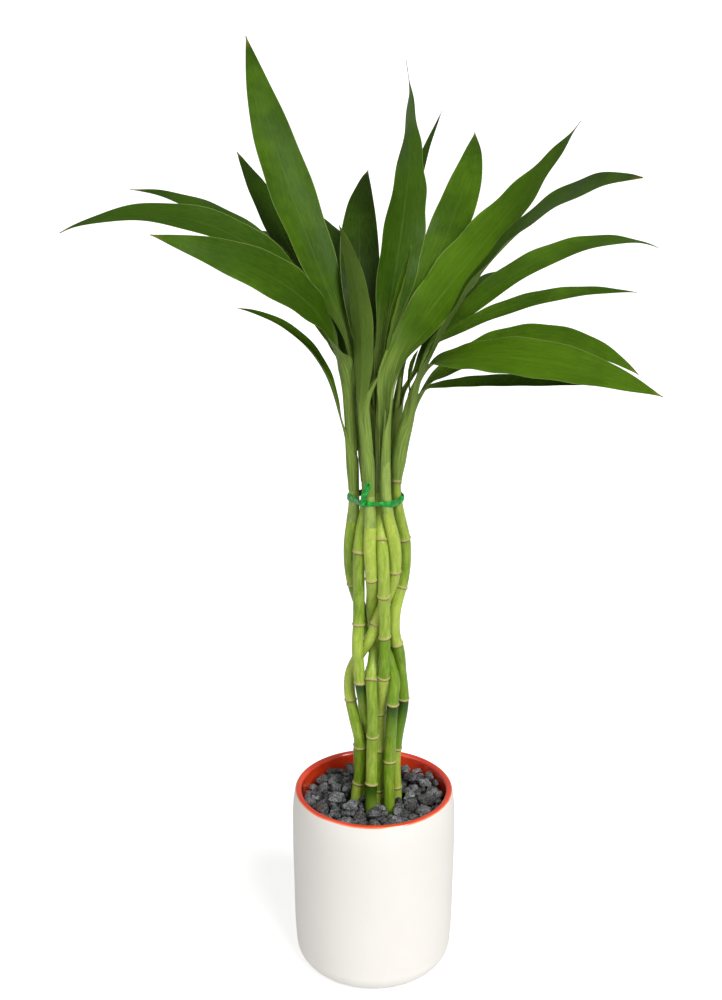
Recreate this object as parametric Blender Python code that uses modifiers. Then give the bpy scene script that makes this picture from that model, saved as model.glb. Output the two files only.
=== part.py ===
"""Lucky bamboo: eight canes plaited into an open lattice and tied below their leafy shoots, in a pot of gravel.

Metres, +Z up. The origin is the middle of the pot's flat foot, and -Y is the side the plant is seen from. The
plant's own tables are in millimetres, because its stalks and leaves are laid out by hand to the nearest few.
"""

import math
from collections import namedtuple

import bmesh
import bpy
import numpy as np

MM = 0.001
GAP = 0.0003  # between two solids that rest on each other

# Pot: a straight-sided cylinder, a little narrower at its rim and its foot
POT_HEIGHT = 0.1315
POT_RADIUS = 0.0547
POT_RIM_RADIUS = 0.0530
POT_FOOT_RADIUS = 0.0375
POT_WALL = 0.0047
POT_FLOOR = 0.0060
POT_FOOT_ROUND = 0.0155
POT_STEPS = 48
POT_FLOOR_ROUND = 0.0170
POT_BULGE = 0.0004  # how far the wall departs from straight

# Gravel
BED_EDGE_HEIGHT = 0.1160
BED_MIDDLE_HEIGHT = 0.1180
BED_HEAP_DROP = 0.0006  # how far the heap has fallen halfway out
BED_CORNER = 0.0175
# Each ring of bigger stones: how many, the ring's radius, a stone's radius and how far round it starts, in steps
STONE_RINGS = ((6, 0.0285, 0.0054, 0.2), (10, 0.0405, 0.0058, 0.0))
STONE_CORNERS = 16
STONE_LEAST = 0.78  # the smallest share of its radius that a stone keeps along one axis
STONE_FLATNESS = 0.86
STONE_SEED = 7

# Canes
CANE_RADIUS = 3.7 * MM
SHOOT_RADIUS = 3.9 * MM
CANE_SPACING = 8.2  # between the middles of neighbours, in millimetres
CANE_STEP = 7.5  # between the rings of a stalk's tube, in millimetres
CANE_FOOT = 30.0  # how high above the pot's foot the buried ends stand, in millimetres
CANE_BURIED = 70.0  # the height of the buried part's middle ring, in millimetres
CANE_LOWEST = 108.0  # where the hand-set ways start, in millimetres
CANE_HIGHEST = 426.0
CANE_ROUNDS = 160  # how often the stalks push each other apart
CANE_PUSH = 0.45
CANE_BLUR = 0.40
CANE_RETURN = 0.01
SHOOT_SWELL = 0.030  # the height over which a cane swells into its shoot
SHOOT_TIP = 0.55
TIE_HEIGHT = 0.340

# Tie
TIE_RADIUS = 0.9 * MM
TIE_TAIL = 0.0145
TIE_KNOT = (-8.0, -17.5)  # in millimetres
TIE_LEAN = (0.25, -0.18, 0.95)  # the way the twisted tails point
TIE_TURNS = 2.2
TIE_WIND = 1.25  # how far each tail stands off the line that they wind round, in tie radii

# Leaves
LEAF_THICKNESS = 0.0011
LEAF_STATIONS = 14
LEAF_FOLD = 0.22  # how far a blade's edges stand above its middle, over half its width
LEAF_WIDEST = 0.4615  # the share of the length where a blade is widest

# Each stalk's way up through the plait: height, then x and y, in millimetres. The last row is the shoot's tip.
STALKS = {
    "stalk_far_left": (
        (108, 9, 11), (122, 8.5, 11.5), (150, 7, 9.5), (175, 9, 12.5), (200, 7, 17), (215, 3.5, 17.5),
        (232, -3, 14.5), (250, -5.5, 9), (268, -11, 4), (288, -15.5, -1), (308, -16, -1.5), (323, -14, -1.5),
        (337, -12.5, -1), (360, -13.5, -1), (390, -15.5, -1), (420, -17.5, 0),
    ),
    "stalk_front_left": (
        (108, -1, 12), (122, -0.5, 11.5), (145, -1.5, 8.5), (160, -4, 4), (175, -5, -1.5), (187, -6, -6),
        (215, -8.5, -12), (228, -9.5, -11), (240, -10.5, -9.5), (254, -10, -5), (283, -10, -10),
        (305, -10, -13), (322, -8, -8), (337, -5, -4), (360, -6, 0), (390, -8, 4), (418, -11, 7.5),
    ),
    "stalk_centre_left": (
        (108, -2, -13), (124, -2, -12.5), (140, -1.5, -11.5), (157, -1.5, -10), (177, -1, -12.5), (200, -1, -16),
        (218, -1.5, -15), (230, -0.5, -6), (240, 1, 3), (250, 0, 3), (262, -0.5, 0), (275, -1, -9), (289, -1, -15.5),
        (309, -2, -17), (323, -2.5, -15), (340, -3, -12), (365, -4, -11.5), (390, -6, -11), (408, -8, -10.5),
    ),
    "stalk_middle": (
        (108, 3, 0), (150, 3, -1), (170, 3, -1), (185, 4, -3), (200, 5, -7), (209, 5.5, -10), (220, 6, -14),
        (235, 7, -13.5), (248, 6.5, -12), (277, 6, -14.5), (295, 5.5, -17), (312, 5, -15.5), (322, 4, -10),
        (337, 4, -3.5), (360, 4, -3), (395, 3, -1), (425, 2, 1),
    ),
    "stalk_crossing": (
        (108, -13, -2), (125, -12, -1), (145, -8.5, -1), (160, -9, -3), (175, -9, -8), (185, -11, -6.5),
        (198, -16, -2), (213, -17, 0), (225, -13.5, -1), (231, -9, -0.5), (240, -3.5, -7.5), (250, 0, -8.5),
        (262, 3, -6), (275, 8, -7.5), (285, 12, -11), (294, 12.5, -14), (308, 12, -14.5), (325, 9, -13),
        (341, 7, -12), (365, 6.5, -12), (395, 6.5, -13), (404, 6.5, -13.5),
    ),
    "stalk_far_right": (
        (108, 16, 4), (122, 15.5, 3), (150, 14, 3), (170, 15.5, 1), (185, 18.5, 0), (198, 20, 0), (213, 18, -0.5),
        (229, 16, -1.5), (236, 14, -5.5), (250, 12.5, -6.5), (267, 13, -6.5), (278, 17.5, -2), (297, 20, -2),
        (312, 19, -1.5), (325, 16, -3), (338, 14, -4.5), (360, 14, -5), (385, 18, -6), (402, 21.5, -7.5),
        (416, 24, -7),
    ),
    "stalk_front_right": (
        (108, 10.5, -11), (124, 10.5, -10), (141, 10, -8.5), (155, 10.5, -7), (171, 11, -8.5), (200, 12, -13),
        (209, 12, -13), (222, 11, -9.5), (229, 9.5, -6), (236, 8.5, -1), (250, 8.5, 3), (262, 5, 6.5),
        (275, 3, 12), (295, 1, 16.5), (315, 0, 14), (337, 1.5, 5), (360, 1, 8), (395, 0, 12), (415, -1, 15.5),
    ),
    "stalk_back": (
        (108, -9, 8.5), (122, -9, 8.5), (150, -10, 8), (175, -7.5, 10), (200, -6, 12), (215, -1.5, 9.5),
        (232, 2.5, 8), (250, 4.5, 10.5), (270, 8, 12), (290, 13, 13), (310, 14, 12.5), (325, 12.5, 8),
        (337, 10.5, 4.5), (360, 11, 7), (395, 14, 11), (415, 16.5, 14.5),
    ),
}

# A leaf leaves its shoot at a point, in millimetres, and runs towards a heading (0 is +X, 90 is the back). It
# rises, and droops and swings by so many degrees over its length. Roll turns its face about its own middle line,
# and twist adds to that over its length.
Leaf = namedtuple("Leaf", "root heading rise droop swing length width roll twist")
LEAVES = (
    Leaf((-13, 3, 432), 143, 60, 6, -32, 214, 31, 0, 20),
    Leaf((-11, 13, 404), 142, 60, 38, -30, 195, 22, 5, 5),
    Leaf((-23, 0, 430), 212, 68, 96, -38, 210, 27, 45, -28),
    Leaf((-22, 11, 424), 156, 65, 59, 34, 174, 20, 30, -5),
    Leaf((-22, -8, 430), 264, 50, 38, -85, 173, 28, 66, 0),
    Leaf((-21, -4, 389), 208, 80, 69, -15, 109, 9, 40, 0),
    Leaf((-5, 26, 411), 129, 54, 64, -10, 164, 16, 10, 0),
    Leaf((-6, 2, 422), 105, 76, 54, -27, 142, 25, 0, 0),
    Leaf((-11, -18, 392), -127, 103, 57, 16, 137, 15, 0, 0),
    Leaf((4, 2, 434), 50, 74, 28, 51, 189, 33, -42, -36),
    Leaf((7, 21, 416), 65, 80, 35, -8, 171, 13, 14, 6),
    Leaf((14, 2, 433), 37, 61, 43, 51, 178, 25, -10, -5),
    Leaf((18, 14, 418), 94, 34, 36, -27, 126, 16, 0, 0),
    Leaf((9, -15, 426), 46, 46, -10, -75, 190, 36, -24, -8),
    Leaf((21, -15, 404), -34, 68, 62, -34, 262, 29, -26, -18),
    Leaf((25, 1, 425), 14, 49, 72, 22, 199, 18, -26, 6),
    Leaf((27, -5, 435), 1, 33, 42, 5, 140, 12, -32, 0),
    Leaf((28, -1, 410), -12, 43, 77, -16, 148, 22, -40, 0),
    Leaf((29, -7, 428), -54, 20, 36, 25, 174, 27, -32, -20),
    Leaf((27, -12, 414), -55, 18, 16, 36, 133, 10, -45, 0),
    Leaf((5, -7, 424), 20, 76, 0, 15, 78, 9, 0, 0),
    Leaf((21, -2, 412), 44, 84, 30, 0, 24, 5, 0, 0),
    Leaf((-2, 20, 414), 105, 58, 70, 20, 180, 24, 0, 0),
    Leaf((4, 20, 400), 92, 40, 50, 5, 160, 20, 0, 0),
    Leaf((24, 13, 412), 38, 60, 60, 15, 105, 16, 0, 0),
)

Finish = namedtuple("Finish", "colour roughness metallic")
FINISHES = {
    "white_glaze": Finish((0.86, 0.84, 0.79), 0.32, 0.0),
    "grey_stone": Finish((0.10, 0.10, 0.11), 0.85, 0.0),
    "cane_green": Finish((0.30, 0.45, 0.06), 0.40, 0.0),
    "leaf_green": Finish((0.09, 0.25, 0.03), 0.42, 0.0),
    "foil_green": Finish((0.01, 0.45, 0.10), 0.20, 0.0),
}


def clear_scene():
    """Removes every object, so that the script starts from nothing."""
    for obj in list(bpy.data.objects):
        bpy.data.objects.remove(obj, do_unlink=True)


def collection(name):
    """A new collection in the scene."""
    made = bpy.data.collections.new(name)
    bpy.context.scene.collection.children.link(made)
    return made


def material(name):
    """The Principled material of one of the finishes, made the first time that it is asked for."""
    if name in bpy.data.materials:
        return bpy.data.materials[name]
    finish = FINISHES[name]
    made = bpy.data.materials.new(name)
    made.use_nodes = True
    shader = made.node_tree.nodes["Principled BSDF"]
    shader.inputs["Base Color"].default_value = (*finish.colour, 1.0)
    shader.inputs["Roughness"].default_value = finish.roughness
    shader.inputs["Metallic"].default_value = finish.metallic
    return made


def place(obj, where, finish):
    """Puts an object in its collection, gives it its finish and shades its round faces smooth."""
    where.objects.link(obj)
    obj.data.materials.append(material(finish))
    if obj.type == "MESH":
        obj.data.shade_smooth()
        obj.data.set_sharp_from_angle(angle=math.radians(35))
    return obj


def arc(centre, radius, start, end, count):
    """Points of a circular arc in the XZ plane, from one angle to another in degrees."""
    angles = np.radians(np.linspace(start, end, count))
    return [(centre[0] + radius * math.cos(a), centre[1] + radius * math.sin(a)) for a in angles]


def turned(name, profile, steps):
    """An object turned from a profile of (radius, height) points by a Screw modifier."""
    mesh = bpy.data.meshes.new(name)
    mesh.from_pydata([(r, 0.0, z) for r, z in profile], [(i, i + 1) for i in range(len(profile) - 1)], [])
    obj = bpy.data.objects.new(name, mesh)
    screw = obj.modifiers.new("turn", "SCREW")
    screw.steps = steps
    screw.render_steps = steps
    screw.use_merge_vertices = True
    screw.merge_threshold = 0.00005
    screw.use_normal_calculate = True
    return obj


def build_pot(where):
    """The pot: one wall from the middle of its floor, up inside, over the rim and down to its foot."""
    lip = POT_WALL / 2
    inner = POT_RIM_RADIUS - POT_WALL
    rim_middle = (POT_RIM_RADIUS - lip, POT_HEIGHT - lip)
    foot_middle = (POT_FOOT_RADIUS, POT_FOOT_ROUND)
    profile = [(0.0, POT_FLOOR)]
    profile += arc((inner - POT_FLOOR_ROUND, POT_FLOOR + POT_FLOOR_ROUND), POT_FLOOR_ROUND, -90, 0, 5)
    profile += arc(rim_middle, lip, 180, 0, 7)
    profile += [
        (POT_RADIUS - POT_BULGE, POT_HEIGHT * 0.91),
        (POT_RADIUS, POT_HEIGHT * 0.73),
        (POT_RADIUS - POT_BULGE, POT_HEIGHT * 0.45),
        (POT_FOOT_RADIUS + POT_FOOT_ROUND + POT_BULGE * 2, POT_FOOT_ROUND * 1.8),
    ]
    profile += arc(foot_middle, POT_FOOT_ROUND, 0, -90, 6)
    profile += [(0.0, 0.0)]
    return place(turned("pot", profile, POT_STEPS), where, "white_glaze")


def smooth_path(points, count):
    """A centripetal Catmull-Rom curve through the points, read at evenly spread parameters."""
    knots = np.asarray(points, float)
    knots = np.vstack([2 * knots[0] - knots[1], knots, 2 * knots[-1] - knots[-2]])
    spans = np.sqrt(np.linalg.norm(np.diff(knots, axis=0), axis=1))
    times = np.concatenate([[0.0], np.cumsum(spans)])
    t = np.linspace(times[1], times[-2], count)[:, None]
    at = np.clip(np.searchsorted(times, t[:, 0], side="right") - 1, 1, len(knots) - 3)
    t0, t1, t2, t3 = (times[at + step][:, None] for step in (-1, 0, 1, 2))
    p0, p1, p2, p3 = (knots[at + step] for step in (-1, 0, 1, 2))
    a1 = ((t1 - t) * p0 + (t - t0) * p1) / (t1 - t0)
    a2 = ((t2 - t) * p1 + (t - t1) * p2) / (t2 - t1)
    a3 = ((t3 - t) * p2 + (t - t2) * p3) / (t3 - t2)
    b1 = ((t2 - t) * a1 + (t - t0) * a2) / (t2 - t0)
    b2 = ((t3 - t) * a2 + (t - t1) * a3) / (t3 - t1)
    return ((t2 - t) * b1 + (t - t1) * b2) / (t2 - t1)


def plaited_paths():
    """Every stalk's centre line, in metres, once the stalks have pressed each other apart.

    The hand-set ways are read at even heights. Then any two stalks that are closer than their spacing push each
    other aside, a little at a time, while each one stays smooth and is drawn back to its own way.
    """
    step = 2.0
    heights = np.arange(CANE_LOWEST, CANE_HIGHEST, step)
    ways = []
    for points in STALKS.values():
        path = smooth_path([(x, y, z) for z, x, y in points], 400)
        ways.append(np.stack([np.interp(heights, path[:, 2], path[:, axis]) for axis in (0, 1)], axis=1))
    ways = np.array(ways)
    own = ways.copy()
    same = np.eye(len(ways), dtype=bool)[:, :, None]
    for _ in range(CANE_ROUNDS):
        apart = ways[:, None] - ways[None]
        distance = np.linalg.norm(apart, axis=3) + 1e-9
        away = apart / distance[..., None]
        slope = np.gradient(ways, step, axis=1)
        closing = ((slope[:, None] - slope[None]) * away).sum(axis=3) / 2
        # A level slice shows a bigger distance than the true one where two stalks lean across each other.
        wanted = CANE_SPACING * np.sqrt(1 + np.minimum(closing**2, 1.0))
        lack = np.where(same, 0.0, np.clip(wanted - distance, 0.0, None))
        ways = ways + CANE_PUSH * (away * lack[..., None]).sum(axis=1)
        blurred = ways.copy()
        blurred[:, 1:-1] = (ways[:, :-2] + 2 * ways[:, 1:-1] + ways[:, 2:]) / 4
        ways = ways + CANE_BLUR * (blurred - ways)
        ways = ways + CANE_RETURN * (own - ways)
    paths = {}
    for way, (name, points) in zip(ways, STALKS.items()):
        tip = points[-1][0]
        rings = np.append(np.arange(heights[0], tip - CANE_STEP / 2, CANE_STEP), tip)
        x, y = (np.interp(rings, heights, way[:, axis]) for axis in (0, 1))
        line = np.stack([x, y, rings], axis=1)
        buried = [(line[0, 0], line[0, 1], z) for z in (CANE_FOOT, CANE_BURIED)]
        paths[name] = np.vstack([buried, line]) * MM
    return paths


def tube(name, points, radius, scales=None, resolution=2):
    """A curve object: a round tube along the points, its ends closed."""
    curve = bpy.data.curves.new(name, "CURVE")
    curve.dimensions = "3D"
    curve.bevel_depth = radius
    curve.bevel_resolution = resolution
    curve.use_fill_caps = True
    spline = curve.splines.new("POLY")
    spline.points.add(len(points) - 1)
    for at, point in enumerate(points):
        spline.points[at].co = (*point, 1.0)
        spline.points[at].radius = 1.0 if scales is None else scales[at]
    return bpy.data.objects.new(name, curve)


def as_mesh(obj):
    """Replaces a curve object with the mesh that it evaluates to, its caps welded to its sides."""
    bpy.context.scene.collection.objects.link(obj)
    bpy.context.view_layer.update()
    name, matrix = obj.name, obj.matrix_world.copy()
    mesh = bpy.data.meshes.new_from_object(obj.evaluated_get(bpy.context.evaluated_depsgraph_get()))
    bpy.data.objects.remove(obj, do_unlink=True)
    work = bmesh.new()
    work.from_mesh(mesh)
    bmesh.ops.remove_doubles(work, verts=work.verts, dist=0.00001)
    bmesh.ops.recalc_face_normals(work, faces=work.faces)
    work.to_mesh(mesh)
    work.free()
    made = bpy.data.objects.new(name, mesh)
    made.matrix_world = matrix
    return made


def build_stalks(where, paths):
    """The eight stalks: an even cane that swells a little into its sheathed shoot and narrows at the tip."""
    for name, path in paths.items():
        above = np.clip((path[:, 2] - TIE_HEIGHT) / SHOOT_SWELL, 0.0, 1.0)
        scales = 1 + above * (SHOOT_RADIUS / CANE_RADIUS - 1)
        scales[-1] *= SHOOT_TIP
        place(tube(name, path, CANE_RADIUS, scales), where, "cane_green")


def hull(points):
    """The corners of the convex outline round points in a plane, counterclockwise."""
    def half(ordered):
        chain = []
        for point in ordered:
            while len(chain) > 1:
                one, two = chain[-1] - chain[-2], point - chain[-2]
                if one[0] * two[1] - one[1] * two[0] > 0:
                    break
                chain.pop()
            chain.append(point)
        return chain[:-1]

    ordered = sorted(points, key=tuple)
    return np.array(half(ordered) + half(ordered[::-1]))


def tie_path(paths):
    """The tie's one wire: up one twisted tail, once round the bundle where it is tied, and up the other tail.

    The loop is the outline of the stalks' round sections, wide enough to clear them. The tails wind round each
    other on a short line that leans to the right above the knot.
    """
    clear = SHOOT_RADIUS + TIE_RADIUS + 2.0 * GAP
    circle = np.radians(np.arange(0, 360, 12))
    rim = clear * np.stack([np.cos(circle), np.sin(circle)], axis=1)
    middles = [[np.interp(TIE_HEIGHT, path[:, 2], path[:, axis]) for axis in (0, 1)]
               for path in paths.values()]
    loop = hull([point for middle in middles for point in np.array(middle) + rim])
    knot = np.array(TIE_KNOT) * MM
    first = int(np.argmin(np.linalg.norm(loop - knot, axis=1)))
    loop = np.roll(loop, -first - 1, axis=0)[:-1]
    loop = np.column_stack([loop, np.full(len(loop), TIE_HEIGHT)])
    foot = np.array([*knot, TIE_HEIGHT + 0.001])
    lean = np.array(TIE_LEAN)
    lean /= np.linalg.norm(lean)
    side = np.array([1.0, 0.0, -lean[0] / lean[2]])
    side /= np.linalg.norm(side)
    out = np.cross(lean, side)
    along = np.linspace(0.0, 1.0, 22)[:, None]
    turn = math.tau * TIE_TURNS * along
    wind = TIE_WIND * TIE_RADIUS * (np.cos(turn) * side + np.sin(turn) * out)
    left = foot + lean * TIE_TAIL * along - wind
    right = foot + lean * TIE_TAIL * along + wind
    return np.vstack([right[::-1], loop, left])


def build_tie(where, paths):
    """The twist tie, one closed tube."""
    place(tube("twist_tie", tie_path(paths), TIE_RADIUS, resolution=1), where, "foil_green")


def build_bed(where, cutters, paths):
    """The gravel as one body that fills the pot, heaped a little in the middle, with a hole for each stalk."""
    radius = POT_RIM_RADIUS - POT_WALL - GAP * 1.5
    floor = POT_FLOOR + GAP
    profile = [(0.0, BED_MIDDLE_HEIGHT)]
    profile += [(radius * 0.5, BED_MIDDLE_HEIGHT - BED_HEAP_DROP), (radius, BED_EDGE_HEIGHT)]
    profile += arc((radius - BED_CORNER, floor + BED_CORNER), BED_CORNER, 0, -90, 4)
    profile += [(0.0, floor)]
    bed = place(turned("gravel_bed", profile, POT_STEPS), where, "grey_stone")
    for name, path in paths.items():
        hole = path[path[:, 2] < BED_MIDDLE_HEIGHT + 0.02].copy()
        hole[0, 2] -= GAP * 2
        cutter = as_mesh(tube(f"hole_for_{name}", hole, CANE_RADIUS + GAP * 1.5))
        cutters.objects.link(cutter)
        cutter.hide_render = True
        cutter.display_type = "WIRE"
        cut = bed.modifiers.new(name, "BOOLEAN")
        cut.operation = "DIFFERENCE"
        cut.solver = "EXACT"
        cut.object = cutter


def build_stones(where):
    """The bigger loose stones on the bed: each the hull of a few seeded points, so that it has broken faces."""
    rng = np.random.default_rng(STONE_SEED)
    number = 0
    for count, ring, size, start in STONE_RINGS:
        for turn in (np.arange(count) + start) / count * math.tau:
            number += 1
            points = rng.normal(size=(STONE_CORNERS, 3))
            points /= np.linalg.norm(points, axis=1)[:, None]
            points *= size * rng.uniform(STONE_LEAST, 1.0, size=3) * np.array([1.0, 1.0, STONE_FLATNESS])
            points -= [0.0, 0.0, points[:, 2].min()]
            middle = (ring * math.cos(turn), ring * math.sin(turn), BED_MIDDLE_HEIGHT + GAP)
            work = bmesh.new()
            for point in points:
                work.verts.new(point)
            bmesh.ops.convex_hull(work, input=work.verts)
            loose = [v for v in work.verts if not v.link_faces]
            bmesh.ops.delete(work, geom=loose, context="VERTS")
            bmesh.ops.recalc_face_normals(work, faces=work.faces)
            mesh = bpy.data.meshes.new(f"stone_{number:02d}")
            work.to_mesh(mesh)
            work.free()
            stone = bpy.data.objects.new(mesh.name, mesh)
            stone.location = middle
            place(stone, where, "grey_stone")


def leaf_line(leaf, count):
    """A leaf's middle line and its direction along it, in metres.

    The rise falls by droop times the share of the length to the power 1.3, and the heading turns evenly.
    """
    share = (np.arange(count) + 0.5) / count
    rise = np.radians(leaf.rise - leaf.droop * share**1.3)
    heading = np.radians(leaf.heading + leaf.swing * share)
    steps = np.stack([np.cos(rise) * np.cos(heading), np.cos(rise) * np.sin(heading), np.sin(rise)], axis=1)
    line = np.vstack([[0.0, 0.0, 0.0], np.cumsum(steps, axis=0)]) * leaf.length / count + np.array(leaf.root)
    return line * MM


def build_leaves(where):
    """The leaves: blades that are narrow at the base, widest near the middle and pointed, with a thickness."""
    for number, leaf in enumerate(LEAVES, start=1):
        line = leaf_line(leaf, LEAF_STATIONS - 1)
        share = np.linspace(0.0, 1.0, LEAF_STATIONS)
        ahead = np.gradient(line, axis=0)
        ahead /= np.linalg.norm(ahead, axis=1)[:, None]
        heading = np.radians(leaf.heading + leaf.swing * share)
        level = np.stack([np.sin(heading), -np.cos(heading), np.zeros_like(heading)], axis=1)
        face = np.cross(level, ahead)
        turn = np.radians(leaf.roll + leaf.twist * share)[:, None]
        across = np.cos(turn) * level + np.sin(turn) * face
        upper = np.cross(across, ahead)
        spread = share**0.9 * (1 - share) ** 1.05 / (LEAF_WIDEST**0.9 * (1 - LEAF_WIDEST) ** 1.05)
        half = leaf.width * MM / 2 * np.maximum(spread, 0.2 * (1 - share) ** 2 + 0.04)[:, None]
        fold = LEAF_FOLD * half
        left = line - across * half + upper * fold
        right = line + across * half + upper * fold
        rows = np.stack([left, line, right], axis=1)
        at = np.arange(LEAF_STATIONS * 3).reshape(LEAF_STATIONS, 3)
        quads = np.stack([at[:-1, :-1], at[:-1, 1:], at[1:, 1:], at[1:, :-1]], axis=-1).reshape(-1, 4)
        mesh = bpy.data.meshes.new(f"leaf_{number:02d}")
        mesh.from_pydata(rows.reshape(-1, 3).tolist(), [], quads.tolist())
        blade = bpy.data.objects.new(mesh.name, mesh)
        wall = blade.modifiers.new("thickness", "SOLIDIFY")
        wall.thickness = LEAF_THICKNESS
        wall.offset = 0.0
        place(blade, where, "leaf_green")


def main():
    """Builds the plant and its pot."""
    clear_scene()
    plant = collection("lucky_bamboo")
    cutters = collection("cutters")
    paths = plaited_paths()
    build_pot(plant)
    build_bed(plant, cutters, paths)
    build_stones(plant)
    build_stalks(plant, paths)
    build_tie(plant, paths)
    build_leaves(plant)


main()
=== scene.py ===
"""Looks of a potted lucky bamboo: plaited canes with their leaves, a twist tie, gravel and a glazed pot.

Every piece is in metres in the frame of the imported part. The plant's own tables are in millimetres.
"""

from __future__ import annotations

import logging
from dataclasses import dataclass, field
from enum import Enum

import bpy
import numpy as np
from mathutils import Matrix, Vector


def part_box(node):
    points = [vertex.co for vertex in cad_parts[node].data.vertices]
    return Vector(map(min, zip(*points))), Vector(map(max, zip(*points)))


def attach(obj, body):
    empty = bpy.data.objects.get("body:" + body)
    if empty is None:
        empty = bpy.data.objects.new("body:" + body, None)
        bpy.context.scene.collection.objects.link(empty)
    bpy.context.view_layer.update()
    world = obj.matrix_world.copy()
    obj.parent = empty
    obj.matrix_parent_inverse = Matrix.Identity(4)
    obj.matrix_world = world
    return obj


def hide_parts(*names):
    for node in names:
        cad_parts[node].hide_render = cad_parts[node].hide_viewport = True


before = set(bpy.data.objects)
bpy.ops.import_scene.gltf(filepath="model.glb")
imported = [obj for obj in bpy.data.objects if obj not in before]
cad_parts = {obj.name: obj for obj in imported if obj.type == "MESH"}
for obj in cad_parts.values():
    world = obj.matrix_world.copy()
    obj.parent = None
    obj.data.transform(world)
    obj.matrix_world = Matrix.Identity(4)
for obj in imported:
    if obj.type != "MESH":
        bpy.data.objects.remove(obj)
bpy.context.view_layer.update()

LOG = logging.getLogger("lucky_bamboo")
MM = 0.001
TURN = 2.0 * np.pi
Array = np.ndarray
Colour = tuple[int, int, int]


class Slot(Enum):
    """Names of material slots, which this script doesn't use."""

    GLAZE = "white_glaze"
    STONE = "grey_stone"
    CANE = "cane_green"
    LEAF = "leaf_green"
    FOIL = "foil_green"


class Habit(Enum):
    """How far a leaf has opened: the angle from its midrib to its edge at its middle, in radians."""

    OPEN = 0.42
    FOLDED = 1.25
    SPEAR = 2.2


# ---------------------------------------------------------------- curves and arrays


def smoothstep(value: Array, low: float, high: float) -> Array:
    """Rises from 0 at low to 1 at high along 3x^2 - 2x^3."""
    share = np.clip((value - low) / (high - low), 0.0, 1.0)
    return share * share * (3.0 - 2.0 * share)


def bell(value: Array, width: float) -> Array:
    """A hump of height 1 round 0: exp(-(value / width)^2)."""
    return np.exp(-((value / width) ** 2))


def unit(vectors: Array) -> Array:
    """The vectors at length 1."""
    return vectors / (np.linalg.norm(vectors, axis=-1, keepdims=True) + 1e-12)


def dot(one: Array, two: Array) -> Array:
    """The dot product along the last axis, kept as an axis of 1."""
    return (one * two).sum(axis=-1, keepdims=True)


def run_length(points: Array) -> Array:
    """How far along its line each point is, from 0."""
    return np.concatenate([[0.0], np.cumsum(np.linalg.norm(np.diff(points, axis=0), axis=1))])


def between(at: Array | float, known: Array, rows: Array) -> Array:
    """The rows, which belong to the rising values known, at other values between them."""
    return np.stack([np.interp(at, known, column) for column in rows.T], axis=-1)


def read_line(points: Array, at: Array) -> Array:
    """The points of a line at the given distances along it."""
    return between(at, run_length(points), points)


def ease(line: Array) -> None:
    """Moves each point of a line, but not its ends, halfway to the middle of its neighbours."""
    line[1:-1] = (line[:-2] + 2 * line[1:-1] + line[2:]) / 4


def circle(count: int) -> Array:
    """Angles that are spread evenly once round."""
    return np.linspace(0, TURN, count, endpoint=False)


def pointing(turn: Array) -> Array:
    """The level unit vectors at the given angles, X and Y only."""
    return np.stack([np.cos(turn), np.sin(turn)], axis=-1)


def smooth_line(points: Array, count: int) -> Array:
    """A centripetal Catmull-Rom curve through the points.

    Args:
        points: The points that it passes through, one row each.
        count: How many points to read from it, at evenly spread parameters.

    Returns:
        The curve's points, one row each.
    """
    knots = np.vstack([2 * points[0] - points[1], points, 2 * points[-1] - points[-2]])
    times = np.concatenate([[0.0], np.cumsum(np.sqrt(np.linalg.norm(np.diff(knots, axis=0), axis=1)))])
    t = np.linspace(times[1], times[-2], count)[:, None]
    at = np.clip(np.searchsorted(times, t[:, 0], side="right") - 1, 1, len(knots) - 3)
    t0, t1, t2, t3 = (times[at + step][:, None] for step in (-1, 0, 1, 2))
    p0, p1, p2, p3 = (knots[at + step] for step in (-1, 0, 1, 2))
    a1 = ((t1 - t) * p0 + (t - t0) * p1) / (t1 - t0)
    a2 = ((t2 - t) * p1 + (t - t1) * p2) / (t2 - t1)
    a3 = ((t3 - t) * p2 + (t - t2) * p3) / (t3 - t2)
    b1 = ((t2 - t) * a1 + (t - t0) * a2) / (t2 - t0)
    b2 = ((t3 - t) * a2 + (t - t1) * a3) / (t3 - t1)
    return ((t2 - t) * b1 + (t - t1) * b2) / (t2 - t1)


def ripple(points: Array, size: float, seed: int, waves: int = 9) -> Array:
    """A smooth uneven value between about -1 and 1: the mean of sines that cross in seeded directions.

    Args:
        points: Where to read it, with the coordinates on the last axis.
        size: About how far apart its humps are.
        seed: Picks the directions and phases.
        waves: How many sines are summed.

    Returns:
        One value for each point.
    """
    rng = np.random.default_rng(seed)
    ways = unit(rng.normal(size=(waves, points.shape[-1])))
    ways = ways * rng.uniform(0.7, 1.6, (waves, 1)) * TURN / size
    return np.sin(points @ ways.T + rng.uniform(0, TURN, waves)).sum(axis=-1) * np.sqrt(2.0 / waves) * 0.7


# ---------------------------------------------------------------- surfaces


@dataclass
class Skin:
    """A surface: its points, its faces as arrays of one width each, and values that a finish reads."""

    points: Array
    faces: list[Array]
    values: dict[str, Array] = field(default_factory=dict)

    def volume(self) -> float:
        """Six times the volume inside, positive where the faces point outwards."""
        total = 0.0
        for rows in self.faces:
            for second in range(1, rows.shape[1] - 1):
                corners = [self.points[rows[:, pick]] for pick in (0, second, second + 1)]
                total += float((corners[0] * np.cross(corners[1], corners[2])).sum())
        return total


def joined(skins: list[Skin]) -> Skin:
    """Several surfaces as one, each still closed in itself."""
    starts = np.cumsum([0] + [len(skin.points) for skin in skins[:-1]])
    faces = [rows + start for skin, start in zip(skins, starts) for rows in skin.faces]
    values = {name: np.concatenate([skin.values[name] for skin in skins]) for name in skins[0].values}
    return Skin(np.vstack([skin.points for skin in skins]), faces, values)


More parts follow.
